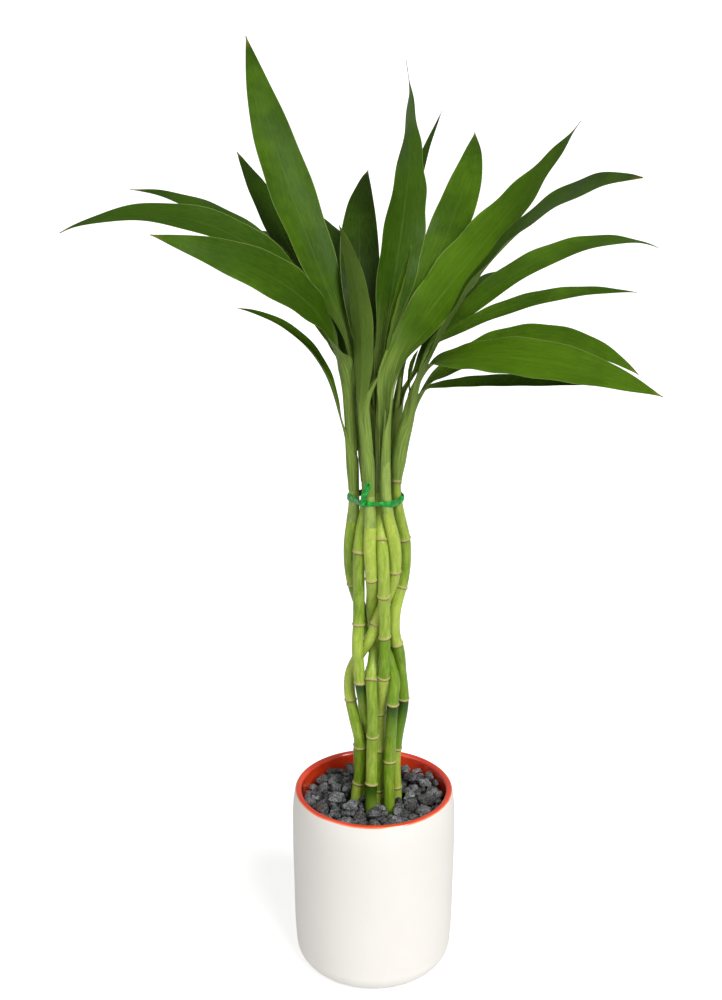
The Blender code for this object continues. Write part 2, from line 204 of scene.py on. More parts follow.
def closed_tube(rings: Array, values: dict[str, Array]) -> Skin:
    """Rings of points joined in order, with a point in the middle of each end ring to close it.

    Args:
        rings: Points by ring, by place round the ring, by coordinate.
        values: For each name, one value or vector for each ring and place.

    Returns:
        The closed surface, its faces outwards.
    """
    count, around = rings.shape[:2]
    at = np.arange(count * around).reshape(count, around)
    beside = np.roll(at, -1, axis=1)
    sides = np.stack([at[:-1], beside[:-1], beside[1:], at[1:]], axis=-1).reshape(-1, 4)
    first = np.stack([beside[0], at[0], np.full(around, count * around)], axis=1)
    last = np.stack([at[-1], beside[-1], np.full(around, count * around + 1)], axis=1)
    points = np.vstack([rings.reshape(-1, 3), rings[:1].mean(axis=1), rings[-1:].mean(axis=1)])
    filled = {}
    for name, held in values.items():
        whole = np.broadcast_to(held, rings.shape[:2] + held.shape[2:])
        flat = whole.reshape(count * around, *held.shape[2:])
        filled[name] = np.concatenate([flat, whole[:1].mean(axis=1), whole[-1:].mean(axis=1)])
    skin = Skin(points, [sides, first, last], filled)
    if skin.volume() < 0:
        skin.faces = [rows[:, ::-1] for rows in skin.faces]
    return skin


def make_piece(
    name: str, skin: Skin, finish: bpy.types.Material, sharp: float
) -> bpy.types.Object:
    """Makes a surface an object of the scene that rides on the part.

    Args:
        name: The piece's name.
        skin: Its surface.
        finish: Its material.
        sharp: The angle in degrees past which an edge stays sharp.

    Returns:
        The new object, at the origin.
    """
    mesh = bpy.data.meshes.new(name)
    widths = np.concatenate([np.full(len(rows), rows.shape[1]) for rows in skin.faces])
    corners = np.concatenate([rows.ravel() for rows in skin.faces]).astype(np.int32)
    mesh.vertices.add(len(skin.points))
    mesh.vertices.foreach_set("co", skin.points.astype(np.float32).ravel())
    mesh.loops.add(len(corners))
    mesh.loops.foreach_set("vertex_index", corners)
    mesh.polygons.add(len(widths))
    mesh.polygons.foreach_set("loop_start", np.concatenate([[0], np.cumsum(widths)[:-1]]).astype(np.int32))
    for title, held in skin.values.items():
        kind, socket = ("FLOAT_VECTOR", "vector") if held.ndim == 2 else ("FLOAT", "value")
        mesh.attributes.new(title, kind, "POINT").data.foreach_set(socket, held.astype(np.float32).ravel())
    mesh.update(calc_edges=True)
    mesh.validate()
    mesh.shade_smooth()
    mesh.set_sharp_from_angle(angle=np.radians(sharp))
    mesh.materials.append(finish)
    piece = bpy.data.objects.new(name, mesh)
    bpy.context.scene.collection.objects.link(piece)
    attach(piece, "root")
    LOG.info("%s: %d points", name, len(skin.points))
    return piece


def level_middles(node: str, heights: Array) -> Array:
    """The middle of a CAD tube at each height: the area centroid of its level section.

    Each triangle that a level crosses gives a segment of the section's outline. The centroid is the sum of
    the segments' middles, each weighted by the area of the triangle that it makes with the origin.

    Args:
        node: The CAD node, one closed tube that runs upwards.
        heights: The heights to cut it at.

    Returns:
        X, Y and height for each height.
    """
    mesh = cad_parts[node].data
    mesh.calc_loop_triangles()
    points = np.empty(len(mesh.vertices) * 3, np.float32)
    mesh.vertices.foreach_get("co", points)
    corners = np.empty(len(mesh.loop_triangles) * 3, np.int32)
    mesh.loop_triangles.foreach_get("vertices", corners)
    triangles = points.reshape(-1, 3).astype(float)[corners.reshape(-1, 3)]
    above = triangles[None, :, :, 2] - (heights + 1e-7)[:, None, None]
    next_above = np.roll(above, -1, axis=2)
    crossed = above * next_above < 0
    share = above / np.where(crossed, above - next_above, 1.0)
    edges = np.roll(triangles, -1, axis=1) - triangles
    where = triangles[None, ..., :2] + share[..., None] * edges[None, ..., :2]
    level, face = np.nonzero(crossed.sum(axis=2) == 2)
    pairs = where[crossed].reshape(-1, 2, 2)
    normal = np.cross(triangles[:, 1] - triangles[:, 0], triangles[:, 2] - triangles[:, 0])[face]
    along = pairs[:, 1] - pairs[:, 0]
    forward = (along[:, 1] * normal[:, 0] - along[:, 0] * normal[:, 1]) > 0
    start = np.where(forward[:, None], pairs[:, 0], pairs[:, 1])
    end = np.where(forward[:, None], pairs[:, 1], pairs[:, 0])
    area = start[:, 0] * end[:, 1] - start[:, 1] * end[:, 0]
    whole = np.bincount(level, area, len(heights))
    moments = [np.bincount(level, area * column, len(heights)) for column in (start + end).T]
    return np.stack([*(moment / (3 * whole) for moment in moments), heights], axis=1)


# ---------------------------------------------------------------- finishes


def paint(colour: Colour) -> tuple[float, float, float, float]:
    """A display colour of 0 to 255 as linear light with full alpha."""
    share = np.array(colour) / 255.0
    light = np.where(share <= 0.04045, share / 12.92, ((share + 0.055) / 1.055) ** 2.4)
    return (*(float(part) for part in light), 1.0)


Link = bpy.types.NodeSocket


class Tree:
    """Short ways to add and join nodes in one node tree."""

    def __init__(self, tree: bpy.types.NodeTree) -> None:
        """Works in the given tree."""
        self.tree = tree

    def add(
        self, kind: str, inputs: dict[str | int, object] | None = None, **settings: object
    ) -> bpy.types.Node:
        """Adds a node.

        Args:
            kind: Its type name.
            inputs: For its input sockets by name or place, a link or a value.
            settings: Its own properties.

        Returns:
            The node.
        """
        node = self.tree.nodes.new(kind)
        for name, value in settings.items():
            setattr(node, name, value)
        for name, value in (inputs or {}).items():
            if isinstance(value, Link):
                self.tree.links.new(value, node.inputs[name])
            else:
                node.inputs[name].default_value = value
        return node

    def math(self, operation: str, one: object, two: object = 0.0) -> Link:
        """The result of a Math node."""
        return self.add("ShaderNodeMath", {0: one, 1: two}, operation=operation).outputs[0]

    def plus(self, one: object, two: object) -> Link:
        """The sum of two values."""
        return self.math("ADD", one, two)

    def minus(self, one: object, two: object) -> Link:
        """The first value less the second."""
        return self.math("SUBTRACT", one, two)

    def times(self, one: object, two: object) -> Link:
        """The product of two values."""
        return self.math("MULTIPLY", one, two)

    def remap(self, value: object, low: float, high: float, start: float = 0.0, end: float = 1.0) -> Link:
        """A value carried smoothly from between low and high to between start and end."""
        inputs = {"Value": value, "From Min": low, "From Max": high, "To Min": start, "To Max": end}
        return self.add("ShaderNodeMapRange", inputs, interpolation_type="SMOOTHSTEP").outputs[0]

    def blend(self, factor: object, one: object, two: object, how: str = "MIX") -> Link:
        """Two colours mixed by a factor."""
        inputs = {0: factor, 6: one, 7: two}
        return self.add("ShaderNodeMix", inputs, data_type="RGBA", blend_type=how).outputs[2]

    def over(self, under: Link, colour: Colour, mask: object, share: float = 1.0) -> Link:
        """A colour laid over another by a mask, at most by the given share."""
        factor = mask if share == 1.0 else self.times(mask, share)
        return self.blend(factor, under, paint(colour))

    def held(self, name: str, socket: str = "Fac") -> Link:
        """A mesh attribute: Fac is its value, Vector its vector."""
        return self.add("ShaderNodeAttribute", attribute_name=name).outputs[socket]

    def place(self) -> Link:
        """Object coordinates."""
        return self.add("ShaderNodeTexCoord").outputs["Object"]

    def noise(self, vector: Link, scale: object, detail: float = 3.0, roughness: float = 0.5) -> Link:
        """Noise between 0 and 1."""
        inputs = {"Vector": vector, "Scale": scale, "Detail": detail, "Roughness": roughness}
        return self.add("ShaderNodeTexNoise", inputs).outputs[0]

    def use(self, group: bpy.types.NodeTree, inputs: dict[str, object]) -> bpy.types.Node:
        """A shared effect, with its own values for this material."""
        return self.add("ShaderNodeGroup", inputs, node_tree=group)

    def mottle(self, vector: Link, scale: float, fine: float) -> Link:
        """The mask of the mottle group."""
        return self.use(MOTTLE, {"Vector": vector, "Scale": scale, "Fine": fine}).outputs["Mask"]

    def specks(self, vector: Link, scale: float, size: float, share: float) -> Link:
        """The mask of the specks group."""
        inputs = {"Vector": vector, "Scale": scale, "Size": size, "Share": share}
        return self.use(SPECKS, inputs).outputs["Mask"]


Group = tuple[bpy.types.NodeTree, Tree, dict[str, Link]]


def new_group(name: str, inputs: dict[str, float | None], outputs: tuple[str, ...]) -> Group:
    """Starts a shader node group.

    Args:
        name: Its name.
        inputs: For each input, the value it starts at, or None for a vector.
        outputs: The names of its values out.

    Returns:
        The group, a Tree that works in it and its input links by name.
    """
    group = bpy.data.node_groups.new(name, "ShaderNodeTree")
    for title, start in inputs.items():
        kind = "NodeSocketVector" if start is None else "NodeSocketFloat"
        socket = group.interface.new_socket(title, in_out="INPUT", socket_type=kind)
        if start is not None:
            socket.default_value = start
    for title in outputs:
        group.interface.new_socket(title, in_out="OUTPUT", socket_type="NodeSocketFloat")
    entry = group.nodes.new("NodeGroupInput")
    return group, Tree(group), {title: entry.outputs[title] for title in inputs}


def end_group(tree: Tree, results: dict[str, Link]) -> None:
    """Joins a group's results to its outputs."""
    tree.add("NodeGroupOutput", dict(results))


def mottle_group() -> bpy.types.NodeTree:
    """Patches at one size with finer ones in them: two noises mixed and stretched to the full range."""
    group, tree, given = new_group("mottle", {"Vector": None, "Scale": 100.0, "Fine": 0.4}, ("Mask",))
    broad = tree.noise(given["Vector"], given["Scale"])
    fine = tree.noise(given["Vector"], tree.times(given["Scale"], 5.3))
    both = tree.plus(broad, tree.times(tree.minus(fine, 0.5), given["Fine"]))
    end_group(tree, {"Mask": tree.remap(both, 0.3, 0.7)})
    return group


def fibre_group() -> bpy.types.NodeTree:
    """Streaks that run with the growth: noise on coordinates that are long one way, and finer lines."""
    group, tree, given = new_group("fibre", {"Vector": None, "Scale": 6.0}, ("Mask", "Lines"))
    streaks = tree.noise(given["Vector"], given["Scale"], 2.0)
    lines = tree.noise(given["Vector"], tree.times(given["Scale"], 4.0), 2.0)
    end_group(tree, {"Mask": tree.remap(streaks, 0.3, 0.7), "Lines": tree.remap(lines, 0.3, 0.7)})
    return group


def speck_group() -> bpy.types.NodeTree:
    """Scattered specks: the middles of some of the cells of a Voronoi pattern."""
    starts = {"Vector": None, "Scale": 400.0, "Size": 0.2, "Share": 0.3}
    group, tree, given = new_group("specks", starts, ("Mask",))
    cells = tree.add("ShaderNodeTexVoronoi", {"Vector": given["Vector"], "Scale": given["Scale"]})
    near = tree.math("LESS_THAN", cells.outputs["Distance"], given["Size"])
    picked = tree.add("ShaderNodeSeparateColor", {0: cells.outputs["Color"]}).outputs[0]
    end_group(tree, {"Mask": tree.times(near, tree.math("LESS_THAN", picked, given["Share"]))})
    return group


MOTTLE = mottle_group()
FIBRE = fibre_group()
SPECKS = speck_group()


def new_material(name: str, settings: dict[str, float]) -> tuple[bpy.types.Material, Tree, bpy.types.Node]:
    """A material with one Principled shader.

    Args:
        name: The material's name.
        settings: Values that are the same all over, by socket.

    Returns:
        The material, a Tree that works in it and its shader.
    """
    made = bpy.data.materials.new(name)
    made.use_nodes = True
    shader = made.node_tree.nodes["Principled BSDF"]
    for socket, value in settings.items():
        shader.inputs[socket].default_value = value
    return made, Tree(made.node_tree), shader


def join_up(tree: Tree, shader: bpy.types.Node, links: dict[str, Link], height: Link, depth: float) -> None:
    """Joins colours and masks to a shader, and a height through a Bump node of a depth in metres."""
    for socket, link in links.items():
        tree.tree.links.new(link, shader.inputs[socket])
    bump = tree.add("ShaderNodeBump", {"Height": height, "Distance": depth})
    tree.tree.links.new(bump.outputs[0], shader.inputs["Normal"])


@dataclass(frozen=True)
class GlazeFinish:
    """A satin cream glaze outside and a shiny red one inside, which thins to orange at the rim."""

    cream: Colour = (241, 238, 233)
    cream_warm: Colour = (235, 229, 219)
    red: Colour = (250, 78, 38)
    red_deep: Colour = (232, 50, 20)
    thin_red: Colour = (255, 156, 108)
    speck: Colour = (120, 96, 70)

    def material(self) -> bpy.types.Material:
        """Reads the attribute inside: millimetres past the line where the red glaze starts."""
        made, tree, shader = new_material("pot_glaze", {"Coat Roughness": 0.06, "Specular IOR Level": 0.5})
        place = tree.place()
        wander = tree.times(tree.minus(tree.noise(place, 90.0), 0.5), 0.9)
        past = tree.plus(tree.held("inside"), wander)
        mask = tree.remap(past, -0.12, 0.12)
        clouds = tree.mottle(place, 22.0, 0.3)
        white = tree.over(paint(self.cream), self.cream_warm, clouds, 0.22)
        red = tree.over(paint(self.red), self.red_deep, clouds)
        red = tree.blend(tree.remap(past, 0.1, 1.5), paint(self.thin_red), red)
        specks = tree.specks(place, 260.0, 0.06, 0.1)
        colour = tree.blend(mask, white, red)
        colour = tree.over(colour, self.speck, specks, 0.12)
        rough = tree.plus(tree.remap(mask, 0.0, 1.0, 0.42, 0.1), tree.times(clouds, 0.06))
        height = tree.plus(tree.noise(place, 380.0), tree.times(specks, -0.5))
        links = {"Base Color": colour, "Roughness": rough, "Coat Weight": mask}
        join_up(tree, shader, links, height, 0.00005)
        return made


@dataclass(frozen=True)
class StoneFinish:
    """Crushed lava gravel: dark grey with lighter broken faces and brown stains, and painted shade in its
    pores and pits.
    """

    name: str = "lava_gravel"
    dark: Colour = (62, 62, 63)
    middle: Colour = (112, 114, 116)
    light: Colour = (190, 193, 194)
    stain: Colour = (84, 66, 56)
    pit_shade: Colour = (22, 20, 19)

    def material(self) -> bpy.types.Material:
        """Reads the attributes tone, from 0 to 1 for each stone, and hollow, which is 1 in a pore, where
        shade is painted.
        """
        made, tree, shader = new_material(self.name, {"Specular IOR Level": 0.3})
        place = tree.place()
        tone = tree.held("tone")
        hollow = tree.held("hollow")
        mottle = tree.mottle(place, 190.0, 0.9)
        grains = tree.noise(place, 1500.0, 4.0, 0.7)
        pores = tree.specks(place, 750.0, 0.34, 0.55)
        body = tree.over(paint(self.dark), self.middle, tree.remap(tone, 0.0, 1.0))
        broken = tree.times(mottle, tree.remap(tone, 0.0, 1.0, 0.35, 0.8))
        body = tree.over(body, self.light, broken)
        stained = tree.times(tree.remap(tree.noise(place, 95.0), 0.52, 0.66), 0.6)
        body = tree.over(body, self.stain, stained)
        body = tree.blend(tree.times(grains, 0.3), body, paint(self.dark), "MULTIPLY")
        # Painted shade: pores and the dents of hollow are darkened nearly to black.
        deep = tree.math("MAXIMUM", tree.times(pores, 0.75), tree.times(hollow, 0.85))
        colour = tree.over(body, self.pit_shade, deep)
        rough = tree.remap(grains, 0.2, 0.8, 0.72, 0.95)
        height = tree.minus(tree.plus(grains, mottle), tree.times(pores, 1.2))
        join_up(tree, shader, {"Base Color": colour, "Roughness": rough}, height, 0.0006)
        return made


@dataclass(frozen=True)
class CaneFinish:
    """The glossy skin of a cane: yellow-green, darker under a ring, with a pale scar at each ring, and a
    painted shadow under some rings.
    """

    pale: Colour = (192, 212, 88)
    green: Colour = (106, 148, 14)
    deep: Colour = (36, 76, 6)
    scar: Colour = (206, 192, 132)
    scar_edge: Colour = (104, 72, 38)
    sheath: Colour = (152, 176, 88)
    sheath_deep: Colour = (106, 136, 68)

    def material(self) -> bpy.types.Material:
        """Reads ring (millimetres above the nearest ring), tone, the darkening (painted shadow under some
        rings, a little darkening under every ring), sheath and the vector grain.
        """
        made, tree, shader = new_material("cane_skin", {"Coat Roughness": 0.18, "Specular IOR Level": 0.2})
        grain = tree.held("grain", "Vector")
        fibre = tree.use(FIBRE, {"Vector": grain, "Scale": 2.2})
        mask, lines = fibre.outputs["Mask"], fibre.outputs["Lines"]
        place = tree.place()
        mottle = tree.mottle(place, 60.0, 0.3)
        tone = tree.plus(tree.held("tone"), tree.times(mask, 0.35))
        colour = tree.over(paint(self.green), self.pale, tree.remap(tone, 0.1, 1.2))
        colour = tree.over(colour, self.deep, lines, 0.26)
        # Painted shadow: the darkening pulls the colour to deep green under the listed rings, and a little
        # under every ring.
        darkening_and_painted_shade = tree.plus(tree.held("darkening_and_painted_shade"), tree.times(mask, 0.15))
        colour = tree.over(colour, self.deep, tree.remap(darkening_and_painted_shade, 0.12, 1.0))
        sheath = tree.over(paint(self.sheath), self.sheath_deep, mask, 0.8)
        sheath = tree.over(sheath, self.pale, mottle, 0.35)
        colour = tree.blend(tree.held("sheath"), colour, sheath)
        ring = tree.held("ring")
        torn = tree.times(tree.minus(tree.noise(grain, 9.0, 4.0, 0.7), 0.5), 1.6)
        rough_ring = tree.plus(ring, torn)
        band = tree.times(tree.remap(rough_ring, -0.75, -0.35), tree.remap(rough_ring, 1.1, 0.6))
        edge = tree.times(tree.remap(rough_ring, -1.5, -1.0), tree.remap(rough_ring, -0.45, -0.8))
        scar = tree.over(paint(self.scar), self.scar_edge, tree.noise(grain, 14.0))
        scar = tree.over(scar, self.scar, 0.55)
        colour = tree.blend(tree.times(band, 0.92), colour, scar)
        colour = tree.over(colour, self.scar_edge, edge, 0.6)
        specks = tree.specks(place, 520.0, 0.16, 0.12)
        colour = tree.over(colour, self.scar_edge, specks, 0.45)
        rough = tree.plus(tree.remap(mottle, 0.0, 1.0, 0.3, 0.42), tree.times(band, 0.3))
        coat = tree.times(tree.minus(1.0, band), 0.25)
        links = {"Base Color": colour, "Roughness": rough, "Coat Weight": coat}
        join_up(tree, shader, links, tree.plus(lines, torn), 0.00006)
        return made


@dataclass(frozen=True)
class LeafFinish:
    """A strap leaf: fine veins along it, a paler edge and underside, and a pale channelled stalk."""

    lightest: Colour = (84, 124, 10)
    full: Colour = (50, 84, 2)
    darkest: Colour = (22, 44, 1)
    under: Colour = (98, 122, 50)
    stalk: Colour = (152, 176, 82)
    stalk_deep: Colour = (112, 142, 66)
    margin: Colour = (150, 168, 96)
    tip: Colour = (150, 140, 60)

    def material(self) -> bpy.types.Material:
        """Reads span (-1 to 1 across), run (0 to 1 along, below 0 on the sheath), under, the tint (age with
        painted light and shade) and grain.
        """
        gloss = {"Coat Roughness": 0.25, "Specular IOR Level": 0.07}
        made, tree, shader = new_material("leaf_blade", gloss)
        grain = tree.held("grain", "Vector")
        fibre = tree.use(FIBRE, {"Vector": grain, "Scale": 3.0})
        mask, lines = fibre.outputs["Mask"], fibre.outputs["Lines"]
        place = tree.place()
        mottle = tree.mottle(place, 26.0, 0.25)
        age_and_painted_light = tree.plus(tree.held("age_and_painted_light"), tree.times(mottle, 0.3))
        run = tree.held("run")
        across = tree.math("ABSOLUTE", tree.held("span"))
        # Painted light and shade: the tint, partly age and partly how lit the leaf is, picks its green
        # between the darkest and the lightest.
        colour = tree.over(paint(self.darkest), self.full, tree.remap(age_and_painted_light, 0.05, 0.6))
        colour = tree.over(colour, self.lightest, tree.remap(age_and_painted_light, 0.6, 1.2))
        colour = tree.over(colour, self.darkest, mask, 0.22)
        below = tree.held("under")
        colour = tree.over(colour, self.under, below, 0.75)
        colour = tree.over(colour, self.stalk, lines, 0.08)
        base = tree.remap(tree.plus(run, tree.times(mask, 0.03)), 0.2, -0.04)
        streaks = tree.plus(mask, tree.times(lines, 0.25))
        stalk = tree.over(paint(self.stalk), self.stalk_deep, tree.remap(streaks, 0.0, 1.25))
        colour = tree.blend(tree.times(base, 0.9), colour, stalk)
        rib = tree.times(tree.remap(across, 0.06, 0.01), tree.remap(run, 0.9, 0.3, 0.0, 0.1))
        colour = tree.over(colour, self.margin, rib)
        edge = tree.times(tree.remap(across, 0.955, 0.99), 0.45)
        colour = tree.over(colour, self.margin, edge)
        colour = tree.over(colour, self.tip, tree.remap(run, 0.95, 1.0), 0.8)
        rough = tree.plus(tree.remap(mottle, 0.0, 1.0, 0.34, 0.44), tree.times(below, 0.14))
        coat = tree.times(tree.minus(1.0, below), 0.03)
        height = tree.plus(lines, tree.times(mask, 0.6))
        links = {"Base Color": colour, "Roughness": rough, "Coat Weight": coat}
        join_up(tree, shader, links, height, 0.00009)
        return made


@dataclass(frozen=True)
class FoilFinish:
    """Shiny green foil over a wire, creased where it is twisted."""

    green: Colour = (8, 196, 66)
    dark: Colour = (0, 122, 34)

    def material(self) -> bpy.types.Material:
        """The green varies along the creases."""
        gloss = {"Coat Weight": 0.5, "Coat Roughness": 0.08, "Specular IOR Level": 0.3}
        made, tree, shader = new_material("tie_foil", gloss)
        creases = tree.mottle(tree.place(), 420.0, 0.5)
        colour = tree.over(paint(self.green), self.dark, creases)
        rough = tree.remap(creases, 0.0, 1.0, 0.14, 0.32)
        metal = tree.remap(creases, 0.0, 1.0, 0.2, 0.05)
        links = {"Base Color": colour, "Roughness": rough, "Metallic": metal}
        join_up(tree, shader, links, creases, 0.0004)
        return made


@dataclass(frozen=True)
class FloorFinish:
    """A white table top, lit from below as far as the camera sees, so that shadows on it stay faint."""

    white: Colour = (232, 232, 232)
    glow: float = 0.62

    def material(self) -> bpy.types.Material:
        """Matt white. The glow is for camera rays only, so that it doesn't light the plant from below."""
        made, tree, shader = new_material("table_top", {"Specular IOR Level": 0.1, "Roughness": 0.9})
        shader.inputs["Emission Color"].default_value = (1.0, 1.0, 1.0, 1.0)
        seen = tree.add("ShaderNodeLightPath").outputs["Is Camera Ray"]
        tree.tree.links.new(tree.times(seen, self.glow), shader.inputs["Emission Strength"])
        shader.inputs["Base Color"].default_value = paint(self.white)
        return made


# ---------------------------------------------------------------- pot


@dataclass
class Pot:
    """The ceramic pot: one turned wall, red glaze inside and over the rim."""

    wall: float = 0.0047
    rim_radius: float = 0.0530
    foot_radius: float = 0.0375
    foot_round: float = 0.0155
    floor: float = 0.0060
    floor_round: float = 0.0170
    glaze_line: float = 0.0006
    unround: float = 0.0025  # how far the hand-turned wall is from a true circle, as a share of its radius
    hole: float = 0.002  # the radius at which the outline starts, which a fan of faces closes
    around: int = 192

    def arc(
        self, centre: tuple[float, float], radius: float, degrees: tuple[float, float], count: int
    ) -> Array:
        """Points of a circular arc in the plane of radius and height, from one angle to another."""
        return np.array(centre) + radius * pointing(np.radians(np.linspace(*degrees, count)))

    def profile(self) -> tuple[Array, int]:
        """The wall's outline from the middle of its floor, up inside, over the rim and down to its foot.

        Returns:
            Radius and height for each point, and the place in it of the outermost point of the rim.
        """
        low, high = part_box("pot")
        height, radius = high[2], (high[0] - low[0]) / 2
        lip, inner = self.wall / 2, self.rim_radius - self.wall
        corner = self.floor + self.floor_round
        upright = np.linspace(corner + 0.004, height - 0.006, 12)
        inside = np.vstack([
            [(self.hole, self.floor), (inner * 0.5, self.floor)],
            self.arc((inner - self.floor_round, corner), self.floor_round, (-90, 0), 12),
            np.stack([np.full(12, inner), upright], axis=1),
            self.arc((self.rim_radius - lip, height - lip), lip, (180, 20), 22),
        ])
        side = smooth_line(np.array([
            (self.rim_radius - 0.00008, height - lip * 0.75),
            (radius - 0.0004, height - 0.012),
            (radius, height - 0.035),
            (radius - 0.0004, height * 0.45),
            (self.foot_radius + self.foot_round + 0.0008, self.foot_round * 1.8),
            (self.foot_radius + self.foot_round, self.foot_round),
        ]), 60)
        foot = self.arc((self.foot_radius, self.foot_round), self.foot_round, (-6, -90), 22)
        under = np.array([(self.foot_radius * 0.5, 0.0), (self.hole, 0.0)])
        return np.vstack([inside, side, foot, under]), len(inside)

    def build(self) -> bpy.types.Object:
        """Turns the outline round the middle.

        X and Y are the radius times the cosine and sine of the turn. Higher up the radius is a little uneven.
        """
        outline, rim = self.profile()
        turn = circle(self.around)
        uneven = np.cos(2 * turn + 0.6) + 0.5 * np.sin(3 * turn)
        hand = 1 + self.unround * uneven * smoothstep(outline[:, 1], 0.0, 0.1)[:, None]
        level = outline[:, :1, None] * pointing(turn) * hand[..., None]
        height = np.broadcast_to(outline[:, 1, None, None], (*level.shape[:2], 1))
        rings = np.concatenate([level, height], axis=2)
        along = run_length(outline)
        past = (along[rim] - self.glaze_line - along) / MM
        skin = closed_tube(rings, {"inside": np.repeat(past[:, None], self.around, axis=1)})
        piece = make_piece("glazed_pot", skin, GlazeFinish().material(), sharp=60.0)
        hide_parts("pot")
        return piece


# ---------------------------------------------------------------- gravel


@dataclass
class Stone:
    """A broken stone: the space on the inner side of some planes round its middle."""

    normals: Array
    reach: Array
    tone: float

    @classmethod
    def broken(cls, rng: np.random.Generator, size: tuple[float, float, float], faces: int) -> Stone:
        """A stone with so many faces, each touching an ellipsoid of that size or cutting into it."""
        at = np.arange(faces) + 0.5
        level = 1 - 2 * at / faces
        turn = np.pi * (1 + 5**0.5) * at + rng.uniform(0, TURN)
        ring = np.sqrt(1 - level**2)
        normals = np.stack([ring * np.cos(turn), ring * np.sin(turn), level], axis=1)
        normals = unit(normals + rng.normal(0, 0.32, (faces, 3)))
        least = 0.06  # so that no face is upright, which heights couldn't divide by
        normals[np.abs(normals[:, 2]) < least, 2] = least
        normals = unit(normals)
        yaw = rng.uniform(0, TURN)
        spin = np.array([[np.cos(yaw), -np.sin(yaw), 0], [np.sin(yaw), np.cos(yaw), 0], [0, 0, 1.0]])
        reach = np.linalg.norm((normals @ spin) * np.array(size), axis=1) * rng.uniform(0.7, 1.0, faces)
        return cls(normals, reach, float(rng.uniform(0, 1)))

    def heights(self, x: Array, y: Array) -> tuple[Array, Array]:
        """The stone's lowest and highest point over places beside its middle; they swap where it isn't."""
        along_x, along_y, along_z = self.normals.T
        level = (self.reach - x[..., None] * along_x - y[..., None] * along_y) / along_z
        up = along_z > 0
        return level[..., ~up].max(axis=-1), level[..., up].min(axis=-1)

    def skin(self, middle: Array, rows: int, columns: int, pits: int, seed: int) -> Skin:
        """The stone's surface: in each direction, the distance to the first plane, less a little wear.

        The direction is (cos u, sin u cos w, sin u sin w), with u down the rows and w along the columns.
        Pits are round dents in seeded directions, and a fine ripple roughens the rest.

        Args:
            middle: Where its middle is.
            rows: The rings between its two poles.
            columns: The points in each ring.
            pits: How many dents it has.
            seed: Picks the dents.

        Returns:
            The closed surface, with tone and hollow.
        """
        rng = np.random.default_rng(seed)
        u = np.pi * (np.arange(rows) + 0.5)[:, None] / rows
        w = TURN * np.arange(columns)[None] / columns
        ways = np.stack([np.cos(u) + 0 * w, np.sin(u) * np.cos(w), np.sin(u) * np.sin(w)], axis=-1)
        facing = np.maximum(ways @ self.normals.T, 1e-4)
        distance = (self.reach / facing).min(axis=-1)
        size = float(self.reach.mean())
        hollow = np.zeros_like(distance)
        if pits:
            spots = unit(rng.normal(size=(pits, 3)))
            angle = np.arccos(np.clip(ways @ spots.T, -1, 1)) / rng.uniform(0.1, 0.34, pits)
            dents = bell(angle, 1.0)
            hollow = dents.max(axis=-1)
            points = ways * distance[..., None]
            rough = ripple(points, size * 0.5, seed) + ripple(points, size * 0.16, seed + 1)
            distance = distance - size * (0.17 * hollow + 0.035 * (1.4 + rough).clip(0, None))
        tone = np.full_like(distance, self.tone)
        return closed_tube(middle + ways * distance[..., None], {"tone": tone, "hollow": hollow})


# A sort of small stone: how many, their half sizes from and to in millimetres, and how many faces they have
Sort = tuple[int, float, float, int]


